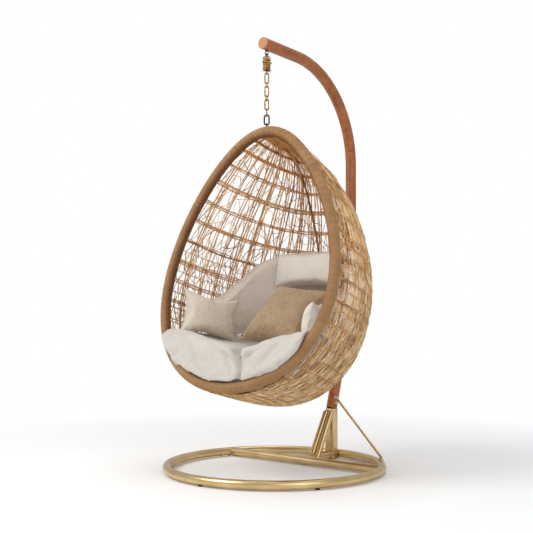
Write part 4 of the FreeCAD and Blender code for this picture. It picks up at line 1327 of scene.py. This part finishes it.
@dataclass(frozen=True)
class Fold:
    """A crease in a pad: its middle, the way across it, its width, depth and reach."""

    spot: tuple
    across: tuple
    wide: float
    depth: float
    reach: float

    def press(self, point: Vector) -> float:
        """How deep the crease is at a point."""
        gap = point - Vector(self.spot)
        return self.depth * bell(gap.dot(Vector(self.across)), self.wide) * bell(gap.length, self.reach)


@dataclass
class FittedPad:
    """A big cushion that fills part of the bowl: its solid, softened, creased and puffed."""

    name: str
    node: str
    slot: str
    finish: Material
    rim: RimLine
    fill: float
    cap: float
    smoothing: int
    folds: tuple = ()
    voxel: float = 0.009
    shrink: float = 0.004
    rim_room: float = 0.0012

    def reshape(self, spot: Vector) -> Vector:
        """Where a point of the solid goes in the stuffed pad; the plain pad keeps its solid's."""
        return spot

    def build(self, source: Object) -> None:
        """Builds the pad from the solid that it stands for."""
        bm = bmesh.new()
        bm.from_mesh(source.data)
        bm.transform(source.matrix_world)
        bmesh.ops.remove_doubles(bm, verts=bm.verts, dist=0.00002)
        piece = link_mesh(mesh_of(bm, self.name), self.finish)
        even_skin(piece, self.voxel)
        for vert in piece.data.vertices:
            vert.co = self.reshape(vert.co.copy())
        thin = piece.modifiers.new("thin", "DISPLACE")
        thin.strength = -self.shrink
        thin.mid_level = 0.0
        even_skin(piece, self.voxel, self.smoothing)
        normals = [vert.normal.copy() for vert in piece.data.vertices]
        for vert, normal in zip(piece.data.vertices, normals):
            vert.co -= normal * sum(fold.press(vert.co) for fold in self.folds)
        puff(piece, self.cap)
        self.rim.keep_clear(piece.data, self.rim.form.rim_radius + self.rim_room)
        settle(piece, Body.BASKET, self.slot, self.node)


def seat_height(across: float, low: float = 0.540, radius: float = 0.936) -> float:
    """The height of the seat's hollow top, at a distance from the middle."""
    return low + radius - sqrt(radius ** 2 - across ** 2)


@dataclass
class SeatPad(FittedPad):
    """The seat cushion, whose front swells out of the opening and lies on the rim."""

    forward: float = 0.026
    over_rim: float = 0.030
    overhang: float = 0.020
    rim_fade: float = 0.035
    hang_fade: float = 0.030
    front_from: tuple = (-0.085, -0.025)
    hang_from: tuple = (0.006, 0.026)
    lobe: float = 0.034
    lobe_at: float = -0.045
    lobe_deep: float = 0.055
    lobe_wide: float = 0.10
    lobe_high: float = 0.06
    parting: float = 0.055

    def reshape(self, spot: Vector) -> Vector:
        """Swells the front forward, most at its edge, and lays the edge on the rim."""
        gap, out, front = self.rim.frame(spot)
        ahead = gap.dot(front)
        inner = max(-self.rim.form.rim_radius - gap.dot(out), 0.0)
        forward = self.forward + self.over_rim * bell(inner, self.rim_fade)
        forward *= rise(ahead, *self.front_from)
        aside = self.overhang * bell(inner, self.hang_fade) * rise(ahead + forward, *self.hang_from)
        top = seat_height(spot.x)
        lobe = (1 - bell(spot.x - self.parting, self.lobe_wide)) * self.lobe
        lift = lobe * bell(ahead - self.lobe_at, self.lobe_deep) * rise(spot.z, top - self.lobe_high, top)
        return spot + (front * forward + out * aside + Z_AXIS * lift)


@dataclass
class BackPad(FittedPad):
    """The back cushion, whose lower edge comes down to the seat."""

    lower: float = 0.110
    still_above: tuple = (0.64, 0.74)
    still_below: tuple = (0.60, 0.63)
    gap: float = 0.004

    def reshape(self, spot: Vector) -> Vector:
        """Draws the lower edge down to just above the seat."""
        down = self.lower * (1 - rise(spot.z, *self.still_above)) * rise(spot.z, *self.still_below)
        spot.z = max(spot.z - down, min(spot.z, seat_height(spot.x) + self.gap))
        return spot


@dataclass
class Cushions:
    """The seat, the back and the loose pillows."""

    form: BasketForm
    palette: Palette

    def build(self, nodes: dict) -> None:
        """Builds every cushion; the big ones take the form of the frame's solids."""
        look = self.palette
        rim = RimLine(self.form)
        folds = (Fold((0.055, -0.43, 0.545), (0.94, 0.2, 0.28), 0.019, 0.046, 0.15),
                 Fold((0.030, -0.45, 0.480), (0.80, 0.2, 0.55), 0.012, 0.022, 0.08),
                 Fold((0.105, -0.45, 0.485), (0.85, 0.1, -0.5), 0.012, 0.022, 0.08),
                 Fold((-0.02, -0.43, 0.530), (0.50, 0.1, 0.85), 0.011, 0.017, 0.09),
                 Fold((0.150, -0.42, 0.540), (0.50, 0.1, -0.85), 0.011, 0.017, 0.09),
                 Fold((-0.22, -0.40, 0.560), (0.75, 0.1, 0.60), 0.015, 0.013, 0.11),
                 Fold((0.26, -0.39, 0.575), (0.75, 0.1, -0.60), 0.015, 0.013, 0.11))
        SeatPad("seat_pad", "seat_cushion", "cream_fabric", look.cream, rim, fill=0.8, cap=0.016,
                smoothing=16, folds=folds).build(nodes["seat_cushion"])
        BackPad("back_pad", "back_cushion", "taupe_fabric", look.taupe, rim, fill=0.7, cap=0.014,
                smoothing=8).build(nodes["back_cushion"])
        Pad("head_pad", "head_pillow", "oat_fabric", look.oat, 0.384, 0.172, 0.076,
            (0, 0.3119, 0.912), lean=-8, draw=0.04, cap=0.010, fill=0.7).build()
        Pad("tan_pad", "tan_pillow", "tan_fabric", look.tan, 0.365, 0.350, 0.106,
            (0.048, 0.100, 0.694), lean=-44, roll=8, draw=0.09, cap=0.022).build()
        Pad("left_pad", "left_pillow", "oat_fabric", look.oat, 0.262, 0.164, 0.068,
            (0.300, -0.040, 0.676), yaw=-66, lean=-12, draw=0.07, cap=0.012).build()
        Pad("right_pad", "right_pillow", "grey_fabric", look.grey, 0.284, 0.212, 0.072,
            (-0.291, -0.058, 0.694), yaw=66, lean=-12, roll=12, draw=0.09, cap=0.018).build()


@dataclass
class Hardware:
    """Finishes for the solids that already have their shape."""

    palette: Palette

    def build(self, nodes: dict) -> None:
        """Gives each solid its material."""
        look = self.palette
        finishes = {
            look.gold: ["base_front_arc", "base_rear_arc", "cross_bar", "rear_spine", "post_socket",
                        "front_strut_left", "front_strut_right", "side_stay", "stay_upper_lug",
                        "stay_lower_clip"],
            look.plated: ["ring_spigots", "ring_joint_bolts", "tenon_inserts", "socket_screws",
                          "lug_screws", "stay_pins", "arm_insert", "thrust_washer", "swivel_nut"],
            look.blackened: ["eye_bolt", "swivel_eye", "swivel_barrel"],
            look.brass: ["swivel_cap_eye"],
            look.bronze: ["basket_eye", "rim_tube"],
            look.rubber: ["floor_glides"],
            look.canes[0]: [name for name in nodes if name.startswith(("rib_", "hoop_"))],
        }
        for material, names in finishes.items():
            for name in names:
                self.dress(nodes[name], material)

    @staticmethod
    def dress(node: Object, material: Material) -> None:
        """Puts one material on a solid."""
        for slot in node.material_slots:
            slot.material = material
        if not node.material_slots:
            node.data.materials.append(material)
        log.info("%s: %s", node.name, material.name)


@dataclass
class Studio:
    """The plain pale floor, the soft lights and the camera."""

    distance: float = 4.2
    azimuth: float = radians(39)
    height: float = 0.7208
    look_y: float = -0.0665
    focal: float = 63.09
    shift_x: float = -0.0150
    shift_y: float = 0.0822
    fade_from: float = 1.1
    fade_to: float = 2.4

    def camera(self) -> None:
        """Sets the camera at the photograph's place."""
        data = bpy.data.cameras.new("camera")
        data.lens = self.focal
        data.sensor_width = 36.0
        data.shift_x = self.shift_x
        data.shift_y = self.shift_y
        camera = show("camera", data)
        camera.location = (self.distance * sin(self.azimuth),
                           self.look_y - self.distance * cos(self.azimuth), self.height)
        camera.rotation_euler = Euler((pi / 2, 0, self.azimuth))
        bpy.context.scene.camera = camera

    def lamp(self, name: str, place: tuple, target: tuple, size: float, power: float,
             colour: tuple = (1, 1, 1)) -> None:
        """Adds a soft lamp that points at a target."""
        data = bpy.data.lights.new(name, "AREA")
        data.size = size
        data.energy = power
        data.color = colour
        lamp = show(name, data)
        lamp.location = place
        lamp.rotation_euler = (Vector(target) - Vector(place)).to_track_quat("-Z", "Y").to_euler()

    def world(self) -> None:
        """A white surround: plain light for the object, white for the camera and reflections."""
        world = bpy.data.worlds.new("surround")
        world.use_nodes = True
        nodes = world.node_tree.nodes
        light = nodes["Background"]
        seen = nodes.new("ShaderNodeBackground")
        for background, strength in ((light, 0.55), (seen, 1.0)):
            background.inputs["Color"].default_value = WHITE
            background.inputs["Strength"].default_value = strength
        rays = nodes.new("ShaderNodeLightPath")
        mix = nodes.new("ShaderNodeMixShader")
        for source, target in ((rays.outputs["Is Camera Ray"], mix.inputs["Fac"]),
                               (light.outputs[0], mix.inputs[1]), (seen.outputs[0], mix.inputs[2]),
                               (mix.outputs[0], nodes["World Output"].inputs["Surface"])):
            world.node_tree.links.new(source, target)
        bpy.context.scene.world = world

    def floor(self) -> None:
        """A pale floor that fades to white away from the object."""
        bm = bmesh.new()
        bmesh.ops.create_grid(bm, x_segments=4, y_segments=4, size=14.0)
        floor = link_mesh(mesh_of(bm, "floor"))
        for vert in floor.data.vertices:
            vert.co.z = -0.0002
        shader = Shader("pale_floor")
        reach = shader.add("VectorMath", {0: shader.place()}, operation="LENGTH").outputs["Value"]
        fade = shader.add("MapRange", {"Value": reach, "From Min": self.fade_from,
                                       "From Max": self.fade_to}).outputs["Result"]
        camera_ray = shader.add("LightPath").outputs["Is Camera Ray"]
        white = shader.add("Emission", {"Color": WHITE, "Strength": 1.0})
        mix = shader.add("MixShader", {0: shader.math("MULTIPLY", fade, camera_ray)})
        shader.finish((0.96, 0.96, 0.96, 1), 0.9, Specular_IOR_Level=0.1)
        shader.join(shader.surface.outputs[0], mix.inputs[1])
        shader.join(white.outputs[0], mix.inputs[2])
        shader.join(mix.outputs[0], shader.tree.nodes["Material Output"].inputs["Surface"])
        floor.data.materials.append(shader.material)

    def build(self) -> None:
        """Builds the studio."""
        bpy.context.scene.view_settings.view_transform = "Standard"
        self.camera()
        self.world()
        self.floor()
        self.lamp("key", (-1.6, -3.2, 3.4), (0, 0, 0.8), 2.4, 95.0, (1.0, 0.985, 0.96))
        self.lamp("fill", (3.4, -1.6, 2.0), (0, 0, 0.8), 2.6, 30.0)
        self.lamp("top", (0.0, 0.6, 4.2), (0, 0, 0.9), 2.2, 40.0)


def main() -> None:
    """Builds the chair round its frame."""
    logging.basicConfig(level=logging.INFO, format="%(message)s")
    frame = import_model()
    Studio().build()
    palette = Palette()
    form = BasketForm()
    Hardware(palette).build(frame["nodes"])
    Post().build()
    Chain(palette).build()
    RopeWrap(palette).build()
    Rim(form, palette).build()
    Weave(form, palette).build()
    Cushions(form, palette).build(frame["nodes"])


if __name__ == "__main__":
    main()
